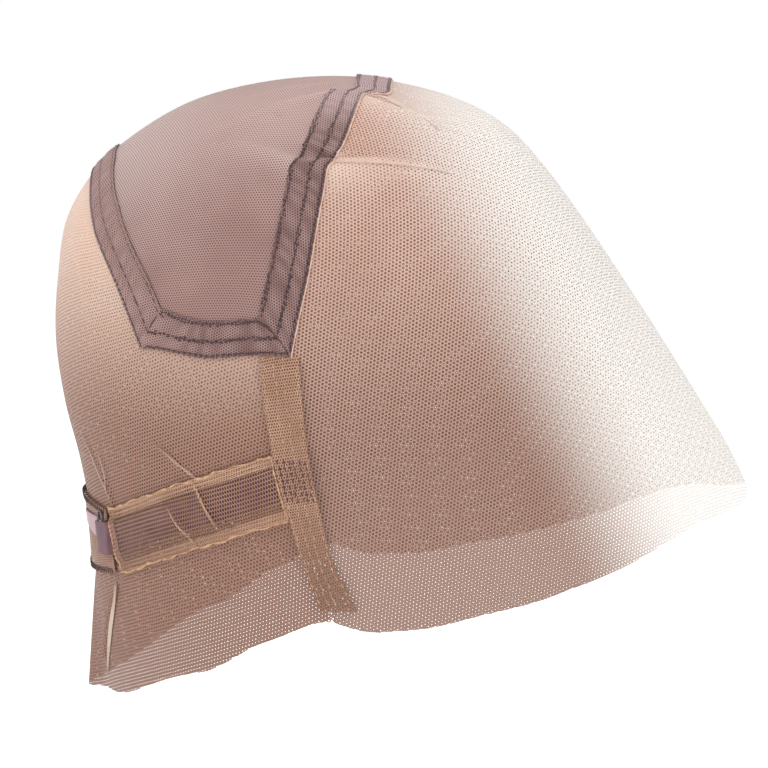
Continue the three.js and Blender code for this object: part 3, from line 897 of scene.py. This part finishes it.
def stitches(starts, ends, radius):
    """Copies of the stitch between pairs of points."""
    axis = (ends - starts) / 2
    outward = (starts + ends) / 2 - FORM_MIDDLE
    side = np.cross(outward, axis)
    side *= radius / np.linalg.norm(side, axis=1, keepdims=True)
    upward = np.cross(axis, side)
    upward *= radius / np.linalg.norm(upward, axis=1, keepdims=True)
    shape = np.stack([axis, side, upward], axis=1)
    points = (starts + ends)[:, None] / 2 + np.einsum("vk,nkx->nvx", STITCH_POINTS, shape)
    shift = len(STITCH_POINTS) * np.arange(len(starts))
    faces = [(shift[:, None, None] + group).reshape(-1, group.shape[1]) for group in STITCH_FACES]
    return points.reshape(-1, 3), faces


def seam_rows(place, length, seams, seed):
    """Rows of stitches on a piece, where place takes spots of a share along and a share across. Stitches
    wander off their line, and slant over it, by shares of the width."""
    rows = []
    for row, seam in enumerate(seams):
        rng = np.random.default_rng(seed + row)
        step = (seam["stitch"] + seam["gap"]) / length
        along = np.arange(0, 1 - step, step)
        across = np.full(len(along), seam["line"])
        if seam["wander"]:
            across += rng.normal(0, seam["wander"], len(along))
        starts = place(shares(along, across))
        ends = place(shares(along + seam["stitch"] / length, across + seam["slant"]))
        rows.append(stitches(starts, ends, seam["radius"]))
    return rows


hem_mesh = Finish("crown_hem_mesh", Roughness=0.78, Sheen_Weight=0.2)
hem_cloud_and_light = hem_mesh.cloudy(120, "8e6b66", "a9857f", spread=0.18)
# Painted highlight on the puffed crests of the puckers.
hem_cloud_and_light = hem_mesh.mix(0.55 * hem_mesh.light_and_shade(), hem_cloud_and_light, paint("c9a7a1"))
# Painted highlight towards the back and on the top of the hem.
hem_back_highlight = hem_mesh.ramp(-1 * hem_mesh.axis("X"), 0.03, 0.07)
hem_cloud_and_light = hem_mesh.mix(0.5 * hem_back_highlight, hem_cloud_and_light, paint("cda9a0"))
hem_top_highlight = hem_mesh.ramp(hem_mesh.axis("Z"), *LIT_TOP)
hem_cloud_and_light = hem_mesh.mix(0.75 * hem_top_highlight, hem_cloud_and_light, paint("d6bab8"))
# Painted shade at the edges of the threads beside the holes, lighter at the back and top.
hem_thread_shade = hem_mesh.mix(hem_back_highlight, paint("5c423f"), paint("80605b"))
hem_thread_shade = hem_mesh.mix(hem_top_highlight, hem_thread_shade, paint("9c8080"))
hem_mesh.colour(hem_mesh.mix(hem_mesh.thread(0.2, 0.5), hem_thread_shade, hem_cloud_and_light))
hem_mesh.rough(0.68 + 0.2 * hem_mesh.noise(900))
# The same mesh turned under, painted darker as painted shade beneath the outer layer.
hem_under = plain_finish(
    "crown_hem_turned", 160, "5f4644", "745955", 1800, 0.0001, Roughness=0.85, Sheen_Weight=0.1
)
dark_thread = Finish("dark_plum_thread", Roughness=0.6)
# Painted highlight: the stitches are painted lighter on the top and upper back, where the light falls.
thread_top_highlight = dark_thread.ramp(dark_thread.axis("Z"), *LIT_TOP)
thread_high = dark_thread.ramp(dark_thread.axis("Z"), -0.08, -0.04)
thread_back_highlight = dark_thread.ramp(-1 * dark_thread.axis("X"), 0.045, 0.08) * thread_high
thread_highlight = 0.8 * thread_top_highlight + 0.55 * thread_back_highlight
dark_worn = dark_thread.cloudy(700, "453137", "5f484e")
dark_thread.colour(dark_thread.mix(thread_highlight, dark_worn, paint("a08b8f")))
dark_thread.raise_by(dark_thread.noise(5000), 0.00005)

outer_ring, under_ring = [], []
for side in HEM_SIDES:
    columns = round(hem_length[side])
    s, t = np.meshgrid(np.arange(columns) / columns, np.linspace(0, 1, HEM_ROWS + 1), indexing="ij")
    edge_dip = HEM_EDGE_DIP * np.exp(-((np.minimum(t, 1 - t) / HEM_EDGE) ** 2))
    outer_ring.append(hem_place(side, HEM_LIFT["outer"] - edge_dip)(shares(s, t)))
    under_ring.append(hem_place(side, HEM_LIFT["under"])(shares(s, t)))
hem_wall = slab(np.concatenate(outer_ring), np.concatenate(under_ring), ring=True)
hem_turned = new_piece("crown_hem_turned", *hem_wall, hem_under, "crown_border")

hem_cuts = []
for seed, side in enumerate(HEM_SIDES):
    hem_grid = grid_of(shares, round(hem_length[side]), HEM_NET_ROWS)
    hem_at = hem_place(side, HEM_LIFT["net"])
    hem_cut = net(hem_grid, hem_at, CROWN_PITCH, CROWN_THREAD, CROWN_TURN, seed=20 + seed)
    puff, wave = hem_puff(side, *hem_cut["spots"].T)
    # Painted highlight on the puffed crests of the puckers.
    hem_cut["light_and_shade"] = puff * (0.5 + 0.5 * wave)
    hem_cuts.append(hem_cut)
hem_around = sum(hem_length.values())
sew_net(
    "crown_hem_mesh", laid_on(*hem_cuts), hem_mesh, "crown_border", "crown_hem",
    size=(hem_around, HEM_WIDTH * HEM_TURNING),
)

hem_rows = []
for seed, side in enumerate(HEM_SIDES):
    stitched, length = hem_place(side, HEM_LIFT["stitch"]), hem_length[side]
    if side == "back":
        hem_rows += seam_rows(stitched, length, HEM_FINE_SEAMS, 40)
    else:
        hem_rows += seam_rows(stitched, length, HEM_SEAMS, 50 + 10 * seed)
    hem_rows += seam_rows(stitched, length, HEM_OVERLOCK, 90 + seed)
for end in (1.0, 0.0):
    mitre_points = hem_place("front", HEM_LIFT["mitre"])(shares(np.full(len(HEM_MITRE), end), HEM_MITRE))
    hem_rows.append(stitches(mitre_points[:-1], mitre_points[1:], HEM_MITRE_RADIUS))
hem_stitches = new_piece("crown_hem_stitches", *joined_up(hem_rows), dark_thread, "crown_border")
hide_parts("crown_hem")

rolled_lace = plain_finish(
    "rolled_lace", 300, "d8b09a", "ecd0bd", 1600, 0.0002, Roughness=0.7, Sheen_Weight=0.1
)
edge_run = np.linspace(0, 1, LACE_ROLL_STEPS)
edge_path = hem_place("front", HEM_LIFT["roll"])(shares(edge_run, np.full(LACE_ROLL_STEPS, LACE_ROLL_ACROSS)))
lace_tube = tube(edge_path, edge_path - FORM_MIDDLE, LACE_ROLL_RADIUS)
new_piece("front_lace_rolled_edge", *lace_tube, rolled_lace, "lace")

# Ear tapes
# A strip of the lace doubled over the seam in front of each ear, from the crown's corner down to the raw
# edge. Pale thread stitches it on in several upright rows, and the end of the strap is sewn to it in plum.
ON_LACE = 1.3
ON_STRAP = 2.6
EAR_TAPE = table(
    "drop angle width",
    [(90.5, 100.2, 10.5), (119, 98.6, 10), (143, 95.6, 9.4), (156, 93.4, 9), (169, 90.6, 8)],
)
TAPE_RISE = table(
    "drop lift",
    [(87.5, 0), (91.5, ON_LACE), (118, ON_LACE), (120.5, ON_STRAP), (137.5, ON_STRAP), (140, ON_LACE)],
)
TAPE_TOP, TAPE_BOTTOM = EAR_TAPE["drop"][0] - 3, EAR_TAPE["drop"][-1] + 4
ANCHOR_TOP, ANCHOR_BOTTOM = 121.5, 137
TAPE_LIFT = {"under": 0.15, "over": 0.6, "stitch": 0.85}
TAPE_PITCH = 1.0
TAPE_THREAD = 0.44
TAPE_DRAWN = (0.86, 1.16)
TAPE_SEAMS = table(SEAM, [(across, 2.0, 0.7, 0.13, 0.04, 0) for across in (-0.86, -0.2, 0.3, 0.86)])
ANCHOR_SEAMS = table(SEAM, [(across, 1.7, 0.4, 0.36, 0.03, 0) for across in np.linspace(-0.8, 0.75, 6)])
HAND = {"right": -1, "left": 1}


def span_angle(length, drop):
    """Degrees round the side of the cap that a length spans."""
    return np.degrees(length / through(FORM["drop"], FORM["side"], drop))


def tape_edge(drop, across):
    width = through(EAR_TAPE["drop"], EAR_TAPE["width"], drop)
    return through(EAR_TAPE["drop"], EAR_TAPE["angle"], drop) + span_angle(width * across / 2, drop)


def tape_place(hand, above):
    """Points of a tape, which climbs over the end of the strap, by a share across and a drop."""

    def place(spots):
        across, drop = spots[..., 0], spots[..., 1]
        lift = np.interp(drop, TAPE_RISE["drop"], TAPE_RISE["lift"]) + above
        return cloth(plan(HAND[hand] * tape_edge(drop, across), drop), lift)

    return place


def down_tape(hand, top, bottom):
    """Points for the stitches down a stretch of a tape, by a share down it and a share across."""
    on_tape = tape_place(hand, TAPE_LIFT["stitch"])
    return lambda spots: on_tape(shares(spots[..., 1], top + spots[..., 0] * (bottom - top)))


doubled_lace = Finish("doubled_lace", Roughness=0.68, Sheen_Weight=0.15)
doubled_thread = doubled_lace.cloudy(90, "c09074", "d2a488")
# Painted shade towards the bottom.
doubled_low_shade = doubled_lace.ramp(-1 * doubled_lace.axis("Z"), 0.135, 0.17)
doubled_thread = doubled_lace.mix(0.6 * doubled_low_shade, doubled_thread, paint("8f6350"))
# Painted shade on the lower layers and a painted highlight on the upper ones.
doubled_under_shade = doubled_lace.mix(-1 * doubled_lace.light_and_shade(), doubled_thread, paint("5c3a2e"))
doubled_over_highlight = doubled_lace.mix(doubled_lace.light_and_shade(), doubled_under_shade, paint("e6c6a8"))
# Painted shade at the edges of the threads beside the holes.
doubled_crown = doubled_lace.thread(0.25, 0.5) + 2 * doubled_lace.light_and_shade()
doubled_lace.colour(doubled_lace.mix(doubled_crown, paint("76503e"), doubled_over_highlight))
doubled_lace.rough(0.6 + 0.2 * doubled_lace.noise(1500))
pale_thread = plain_finish("pale_thread", 600, "cfa684", "e6c9ab", 5000, 0.00005, Roughness=0.55)
anchor_thread = plain_finish("plum_anchor_thread", 700, "6b444b", "8a6067", 5000, 0.00005, Roughness=0.6)

for hand in HAND:
    tape_grid = grid_of(shares, 12, 60, (-1, 1), (TAPE_TOP, TAPE_BOTTOM))
    under_at, over_at = tape_place(hand, TAPE_LIFT["under"]), tape_place(hand, TAPE_LIFT["over"])
    under = net(tape_grid, under_at, TAPE_PITCH, TAPE_THREAD, turn=30, seed=61)
    # Painted shade on the under layer and a painted highlight on the over layer.
    under["light_and_shade"] -= 0.35
    over = net(tape_grid, over_at, TAPE_PITCH, TAPE_THREAD, 2, TAPE_DRAWN, seed=62)
    over["light_and_shade"] += 0.1
    sew_net(
        f"ear_tape_{hand}_net", laid_on(under, over), doubled_lace, "doubled_lace",
        f"ear_tape_{hand}",
    )
    rows = seam_rows(down_tape(hand, TAPE_TOP, TAPE_BOTTOM), TAPE_BOTTOM - TAPE_TOP, TAPE_SEAMS, 70)
    new_piece(f"ear_tape_{hand}_stitches", *joined_up(rows), pale_thread, "doubled_lace")
    anchor_at = down_tape(hand, ANCHOR_TOP, ANCHOR_BOTTOM)
    rows = seam_rows(anchor_at, ANCHOR_BOTTOM - ANCHOR_TOP, ANCHOR_SEAMS, 80)
    new_piece(f"strap_anchor_{hand}_stitches", *joined_up(rows), anchor_thread, "crown_border")

# Straps
# Plum ribbed elastic, sewn down under each ear tape and running back through its casing to the nape,
# where its end climbs onto the patch.
STRAP = table(EDGE, [(95.6, 127.2), (100, 129.6), (124, 142), (147, 153.6), (157.6, 155.6)])
STRAP_FROM, STRAP_TO = STRAP["angle"][0], STRAP["angle"][-1]
STRAP_WIDTH = 11.5
STRAP_RISE = ((149.9, 151.1), (ON_LACE, ON_STRAP))
STRAP_RIBS, STRAP_RIB_HEIGHT = 9, 0.12
STRAP_THICKNESS = 0.7
elastic = plain_finish(
    "strap_elastic", 140, "5f3540", "7c4c57", 2600, 0.00012, Roughness=0.6, Sheen_Weight=0.3
)
elastic.rough(0.5 + 0.25 * elastic.noise(1200))


def strap_drop(angle):
    return through(STRAP["angle"], STRAP["drop"], angle)


def along_strap(share):
    angle = STRAP_FROM + share * (STRAP_TO - STRAP_FROM)
    return plan(angle, strap_drop(angle))


def strap_points(hand, above, columns=90, rows=37):
    """Points of a strap's under face, or above it by its thickness and its ribs."""
    run, width = np.linspace(STRAP_FROM, STRAP_TO, columns), np.linspace(-1, 1, rows)
    angle, across = np.meshgrid(run, width, indexing="ij")
    rib = STRAP_RIB_HEIGHT * np.cos(np.pi * STRAP_RIBS * across) ** 2
    lift = np.interp(angle, *STRAP_RISE) + above * (STRAP_THICKNESS + rib)
    return cloth(plan(HAND[hand] * angle, strap_drop(angle) + across * STRAP_WIDTH / 2), lift)


for hand in HAND:
    strap_wall = slab(strap_points(hand, 1), strap_points(hand, 0))
    strap = new_piece(f"strap_{hand}_elastic", *strap_wall, elastic, "elastic")
    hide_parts(f"strap_{hand}")
    strap_flat = (run_length(along_strap) * MM, STRAP_WIDTH * MM)

# Strap casings
# A channel of the lace over each strap, from the ear tape back to the nape. Its edges are turned and
# rolled, and the sheet is drawn along the strap, so that the rows of holes lie close together.
CASING_WIDTH = 23
CASING_SHIFT = 1.2
CASING_START = 1.06
CASING_END = (150.4, 147)
CASING_PROFILE = table(
    "across lift",
    [(-1, ON_LACE), (-0.74, ON_LACE), (-0.58, ON_STRAP), (0.48, ON_STRAP), (0.66, ON_LACE), (1, ON_LACE)],
)
CASING_TURNING = 0.3
CASING_LAYERS = table(
    "run to_run across to_across lift turn",
    [
        (0, 1, -1, 1, 0.45, 2),
        (0, 1, -1, -1 + CASING_TURNING, 0.75, 4),
        (0, 1, 1 - CASING_TURNING, 1, 0.75, 4),
        (0.95, 1, -1, 1, 0.85, 15),
    ],
)
CREASE_LOW, CREASE_HIGH = ON_LACE + 0.9, ON_STRAP + 0.7
CASING_CREASES = (
    (
        (120.8, 130.2, CREASE_LOW), (119.2, 134.4, CREASE_HIGH),
        (117.4, 140.2, CREASE_HIGH), (115.2, 146.1, CREASE_HIGH),
    ),
    (
        (128.1, 139.7, CREASE_HIGH), (125.9, 145.4, CREASE_HIGH),
        (123.2, 149, CREASE_HIGH), (120.6, 152.9, CREASE_LOW),
    ),
)
CASING_DRAWN = (0.74, 1.22)
CASING_THREAD = 0.32
CASING_OVER_STRAP, CASING_TURNED = -0.12, 0.2
ROLL_STEPS, ROLL_LIFT = 160, 0.6
rolled_edge = plain_finish(
    "casing_rolled_edge", 420, "bb8962", "dfb58e", 1700, 0.0003, spread=0.15,
    Roughness=0.65, Sheen_Weight=0.15,
)


def casing_place(hand, above):
    """Points of a casing, which climbs over its strap, by shares of its run and across."""

    def middle(angle):
        return strap_drop(angle) + CASING_SHIFT

    def place(spots):
        run, across = spots[..., 0], spots[..., 1]
        half = across * CASING_WIDTH / 2
        start = tape_edge(middle(EAR_TAPE["angle"][1]) + half, CASING_START)
        end = CASING_END[0] + (CASING_END[1] - CASING_END[0]) * (across + 1) / 2
        angle = start + run * (end - start)
        lift = np.interp(across, CASING_PROFILE["across"], CASING_PROFILE["lift"]) + above
        return cloth(plan(HAND[hand] * angle, middle(angle) + half), lift)

    return place


roll_run, roll_end = np.linspace(0, 1, ROLL_STEPS), np.ones(ROLL_STEPS)
roll_lines = (
    shares(roll_run, -roll_end),
    shares(roll_run, roll_end),
    shares(roll_end, 2 * roll_run - 1),
    shares(0 * roll_end, 2 * roll_run - 1),
)
roll_wander = 0.02 * shares(0 * roll_run, np.sin(23 * roll_run) + np.sin(61 * roll_run + 1))
roll_radius = 0.36 + 0.14 * np.sin(70 * roll_run + 5 * np.sin(19 * roll_run))
for hand in HAND:
    layers = []
    for seed, layer in enumerate(CASING_LAYERS):
        span, width = (layer["run"], layer["to_run"]), (layer["across"], layer["to_across"])
        layer_grid = grid_of(shares, 90, 30, span, width)
        layer_at = casing_place(hand, layer["lift"])
        layers.append(
            net(layer_grid, layer_at, LACE_PITCH, CASING_THREAD, layer["turn"], CASING_DRAWN, seed=110 + seed)
        )
    # Painted shade on the lowest layer over the strap, and a painted highlight on the turnings and the
    # creases.
    on_strap = np.abs(layers[0]["spots"][:, 1]) <= 1 - CASING_TURNING
    layers[0]["light_and_shade"] = np.where(on_strap, CASING_OVER_STRAP, 0.0)
    for turning in layers[1:3]:
        turning["light_and_shade"] += CASING_TURNED
    for seed, crease in enumerate(CASING_CREASES):
        turned = [(HAND[hand] * angle, drop) for angle, drop, lift in crease]
        lifts = [lift for angle, drop, lift in crease]
        layers.append(crease_net(turned, width=0.6, lift=lifts, seed=120 + seed, light_and_shade=0.3))
    sew_net(
        f"strap_casing_{hand}_net", laid_on(*layers), doubled_lace, "doubled_lace",
        f"strap_casing_{hand}",
    )
    rolls = []
    for line in roll_lines:
        path = casing_place(hand, ROLL_LIFT)(line + roll_wander)
        rolls.append(tube(path, path - FORM_MIDDLE, roll_radius))
    new_piece(f"strap_casing_{hand}_rolled_edge", *joined_up(rolls), rolled_edge, "doubled_lace")

# Nape patch
# Taupe mesh across the middle of the nape, which holds the ribbon tabs. Its upper and lower edges are
# overlocked in dark thread, and its ends are drawn in towards the straps.
PATCH_TOP, PATCH_BOTTOM, PATCH_DRAWN = 143, 169.8, 2.4
PATCH_HALF = (27.3, 29.2)
PATCH_LENGTH = 80
PATCH_THREAD = 0.7
PATCH_LIFT = {"net": 0.3, "stitch": 0.6}
PATCH_OVERLOCK = table(
    SEAM,
    [
        (0.05, 1.2, 0.4, 0.17, 0.01, 0),
        (0.09, 0.9, 0.8, 0.17, 0, -0.1),
        (0.95, 1.2, 0.4, 0.17, 0.01, 0),
        (0.91, 0.9, 0.8, 0.17, 0, 0.1),
    ],
)
patch_mesh = Finish("nape_patch_mesh", Roughness=0.75, Sheen_Weight=0.2)
patch_worn = patch_mesh.cloudy(120, "b3846c", "c5977f")
# Painted shade at the edges of the threads beside the holes.
patch_mesh.colour(patch_mesh.mix(patch_mesh.thread(0.2, 0.5), paint("775544"), patch_worn))
patch_mesh.rough(0.65 + 0.2 * patch_mesh.noise(900))


def patch_place(above):
    """Points of the patch, by shares across and down it."""

    def place(spots):
        across, down = 2 * spots[..., 0] - 1, spots[..., 1]
        turn = across * (PATCH_HALF[0] + down * (PATCH_HALF[1] - PATCH_HALF[0]))
        top = PATCH_TOP + PATCH_DRAWN * across**2
        bottom = PATCH_BOTTOM - PATCH_DRAWN * across**2
        return cloth(plan(180 + turn, top + down * (bottom - top)), ON_LACE + above)

    return place


patch_grid = grid_of(shares, 80, 30)
patch_cut = net(patch_grid, patch_place(PATCH_LIFT["net"]), CROWN_PITCH, PATCH_THREAD, turn=10, seed=130)
sew_net("nape_patch_net", patch_cut, patch_mesh, "patch_mesh", "nape_patch")
rows = seam_rows(patch_place(PATCH_LIFT["stitch"]), PATCH_LENGTH, PATCH_OVERLOCK, 140)
new_piece("nape_patch_overlock", *joined_up(rows), dark_thread, "patch_mesh")

# Ribbon tabs
# Lilac satin ribbon, one tab on each half of the patch, sewn down at its ends. The loop of the strap is
# caught at its outer end.
TAB_FROM, TAB_TO = 158.1, 171
TAB_TOP, TAB_BOTTOM, TAB_NARROWED = 148.6, 156.6, 3.4
TAB_UNDER, TAB_OVER, TAB_SWELL = 1.7, 2.1, 0.2
satin = Finish("lilac_satin", Roughness=0.34, Sheen_Weight=0.4, Specular_IOR_Level=0.6)
satin.colour(satin.cloudy(160, "b87e88", "c9959f"))
satin.rough(0.28 + 0.2 * satin.noise(900))
satin.raise_by(satin.noise(900, stretch=(1, 1, 9)), 0.0002)


def tab_points(hand, lift, columns=40, rows=20):
    run, down = np.meshgrid(np.linspace(0, 1, columns), np.linspace(0, 1, rows), indexing="ij")
    angle = TAB_FROM + run * (TAB_TO - TAB_FROM)
    bottom = TAB_BOTTOM - TAB_NARROWED * run
    spots = plan(HAND[hand] * angle, TAB_TOP + down * (bottom - TAB_TOP))
    return cloth(spots, lift + TAB_SWELL * np.sin(np.pi * run))


def along_tab(share):
    return plan(TAB_FROM + share * (TAB_TO - TAB_FROM), (TAB_TOP + TAB_BOTTOM) / 2 + 0 * share)


for hand in HAND:
    tab_wall = slab(tab_points(hand, TAB_OVER), tab_points(hand, TAB_UNDER))
    tab = new_piece(f"nape_tab_{hand}_ribbon", *tab_wall, satin, "satin_ribbon")
    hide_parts(f"nape_tab_{hand}")
    tab_length = run_length(along_tab)

# Strap loops
# A small dark glossy loop where the strap meets the ribbon tab on each side of the nape. It is moulded as
# a plain closed ring, a little taller than it is wide.
LOOP_ANGLE, LOOP_DROP, LOOP_LIFT = 152, 146.6, 4.2
LOOP_RADIUS, LOOP_WIRE, LOOP_TALLER = 1.5, 0.45, 1.15
dark_loop = plain_finish(
    "dark_loop", 800, "33242a", "4a363d", 3000, 0.00004, Roughness=0.3, Coat_Weight=0.3
)
for hand in HAND:
    loop_spot = plan(HAND[hand] * LOOP_ANGLE, LOOP_DROP)
    bpy.ops.mesh.primitive_torus_add(
        location=cloth(loop_spot, LOOP_LIFT) * MM,
        rotation=Vector(form_normal(loop_spot)).to_track_quat("Z", "Y").to_euler(),
        major_radius=LOOP_RADIUS * MM,
        minor_radius=LOOP_WIRE * MM,
        major_segments=36,
        minor_segments=14,
    )
    loop = bpy.context.object
    loop.name = f"strap_loop_{hand}"
    bpy.ops.object.mode_set(mode="EDIT")
    bpy.ops.transform.resize(value=(1.0, 1.0, LOOP_TALLER), center_override=loop.location)
    bpy.ops.object.mode_set(mode="OBJECT")
    bpy.ops.object.transform_apply(location=True, rotation=True, scale=True)
    bpy.ops.object.shade_smooth()
    loop.data.materials.append(dark_loop.material)
    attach(loop, "root")
    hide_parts(f"strap_hook_{hand}")

# Floor, light and camera
# A plain pale floor well below the cap, which gives off light except under the cap, where its dark middle is
# a painted shadow, soft light from in front, behind and above, and the camera a little above the cap, looking
# across it from its right side.
FLOOR_DROP, FLOOR_SIZE, FLOOR_BEHIND = 330, 60, 20
FLOOR_UNDER_CAP, FLOOR_FADE = 0.06, (0.16, 0.46)
bpy.ops.mesh.primitive_plane_add(size=FLOOR_SIZE, location=(0, FLOOR_BEHIND, -FLOOR_DROP * MM))
floor = bpy.context.object
floor.name = "floor"
bpy.ops.object.transform_apply(location=True)
pale = Finish("pale_floor", Roughness=0.9, Emission_Strength=0.8, Base_Color=(0.9, 0.9, 0.91, 1))
# Painted shadow: the floor's glow fades out under the cap.
from_middle = (pale.axis("X") ** 2 + pale.axis("Y") ** 2) ** 0.5
lit = FLOOR_UNDER_CAP + (1 - FLOOR_UNDER_CAP) * pale.ramp(from_middle, *FLOOR_FADE)
connect(pale.shader.inputs["Emission Color"], pale.mix(lit, (0, 0, 0, 1), (1, 1, 1, 1)))
floor.data.materials.append(pale.material)

CAMERA_AIM = Vector((17, 0, -107)) * MM
CAMERA_DISTANCE = 1300 * MM
CAMERA_ELEVATION = math.radians(7.5)
SENSOR_WIDTH = 36
IMAGE_PIXELS = 768
MM_PER_PIXEL = 0.35
toward_camera = Vector((0, -math.cos(CAMERA_ELEVATION), math.sin(CAMERA_ELEVATION)))
bpy.ops.object.camera_add(location=CAMERA_AIM + CAMERA_DISTANCE * toward_camera)
camera = bpy.context.object
camera.rotation_mode = "QUATERNION"
camera.rotation_quaternion = (-toward_camera).to_track_quat("-Z", "Y")
camera.data.sensor_width = SENSOR_WIDTH
camera.data.lens = SENSOR_WIDTH * CAMERA_DISTANCE / (IMAGE_PIXELS * MM_PER_PIXEL * MM)
bpy.context.scene.camera = camera


def soft_light(name, place, size, power):
    bpy.ops.object.light_add(type="AREA", location=place)
    light = bpy.context.object
    light.name = name
    light.data.shape = "DISK"
    light.data.size = size
    light.data.energy = power
    light.rotation_mode = "QUATERNION"
    light.rotation_quaternion = (CAMERA_AIM - Vector(place)).to_track_quat("-Z", "Y")


soft_light("key_light", place=(0.75, -0.9, 1.1), size=0.8, power=9)
soft_light("back_light", place=(-1.0, -0.5, 0.9), size=0.8, power=7)
soft_light("top_light", place=(0.1, 0.2, 1.3), size=1.0, power=9)
SKY_LIGHT, SKY_SEEN = 0.22, 1.0
world = bpy.data.worlds.new("studio")
world.use_nodes = True
sky = world.node_tree.nodes["Background"]
sky.inputs["Color"].default_value = (1, 1, 1, 1)
seen = world.node_tree.nodes.new("ShaderNodeLightPath")
level = world.node_tree.nodes.new("ShaderNodeMapRange")
level.inputs["To Min"].default_value = SKY_LIGHT
level.inputs["To Max"].default_value = SKY_SEEN
world.node_tree.links.new(seen.outputs["Is Camera Ray"], level.inputs["Value"])
world.node_tree.links.new(level.outputs["Result"], sky.inputs["Strength"])
bpy.context.scene.world = world
bpy.context.scene.view_settings.view_transform = "Standard"
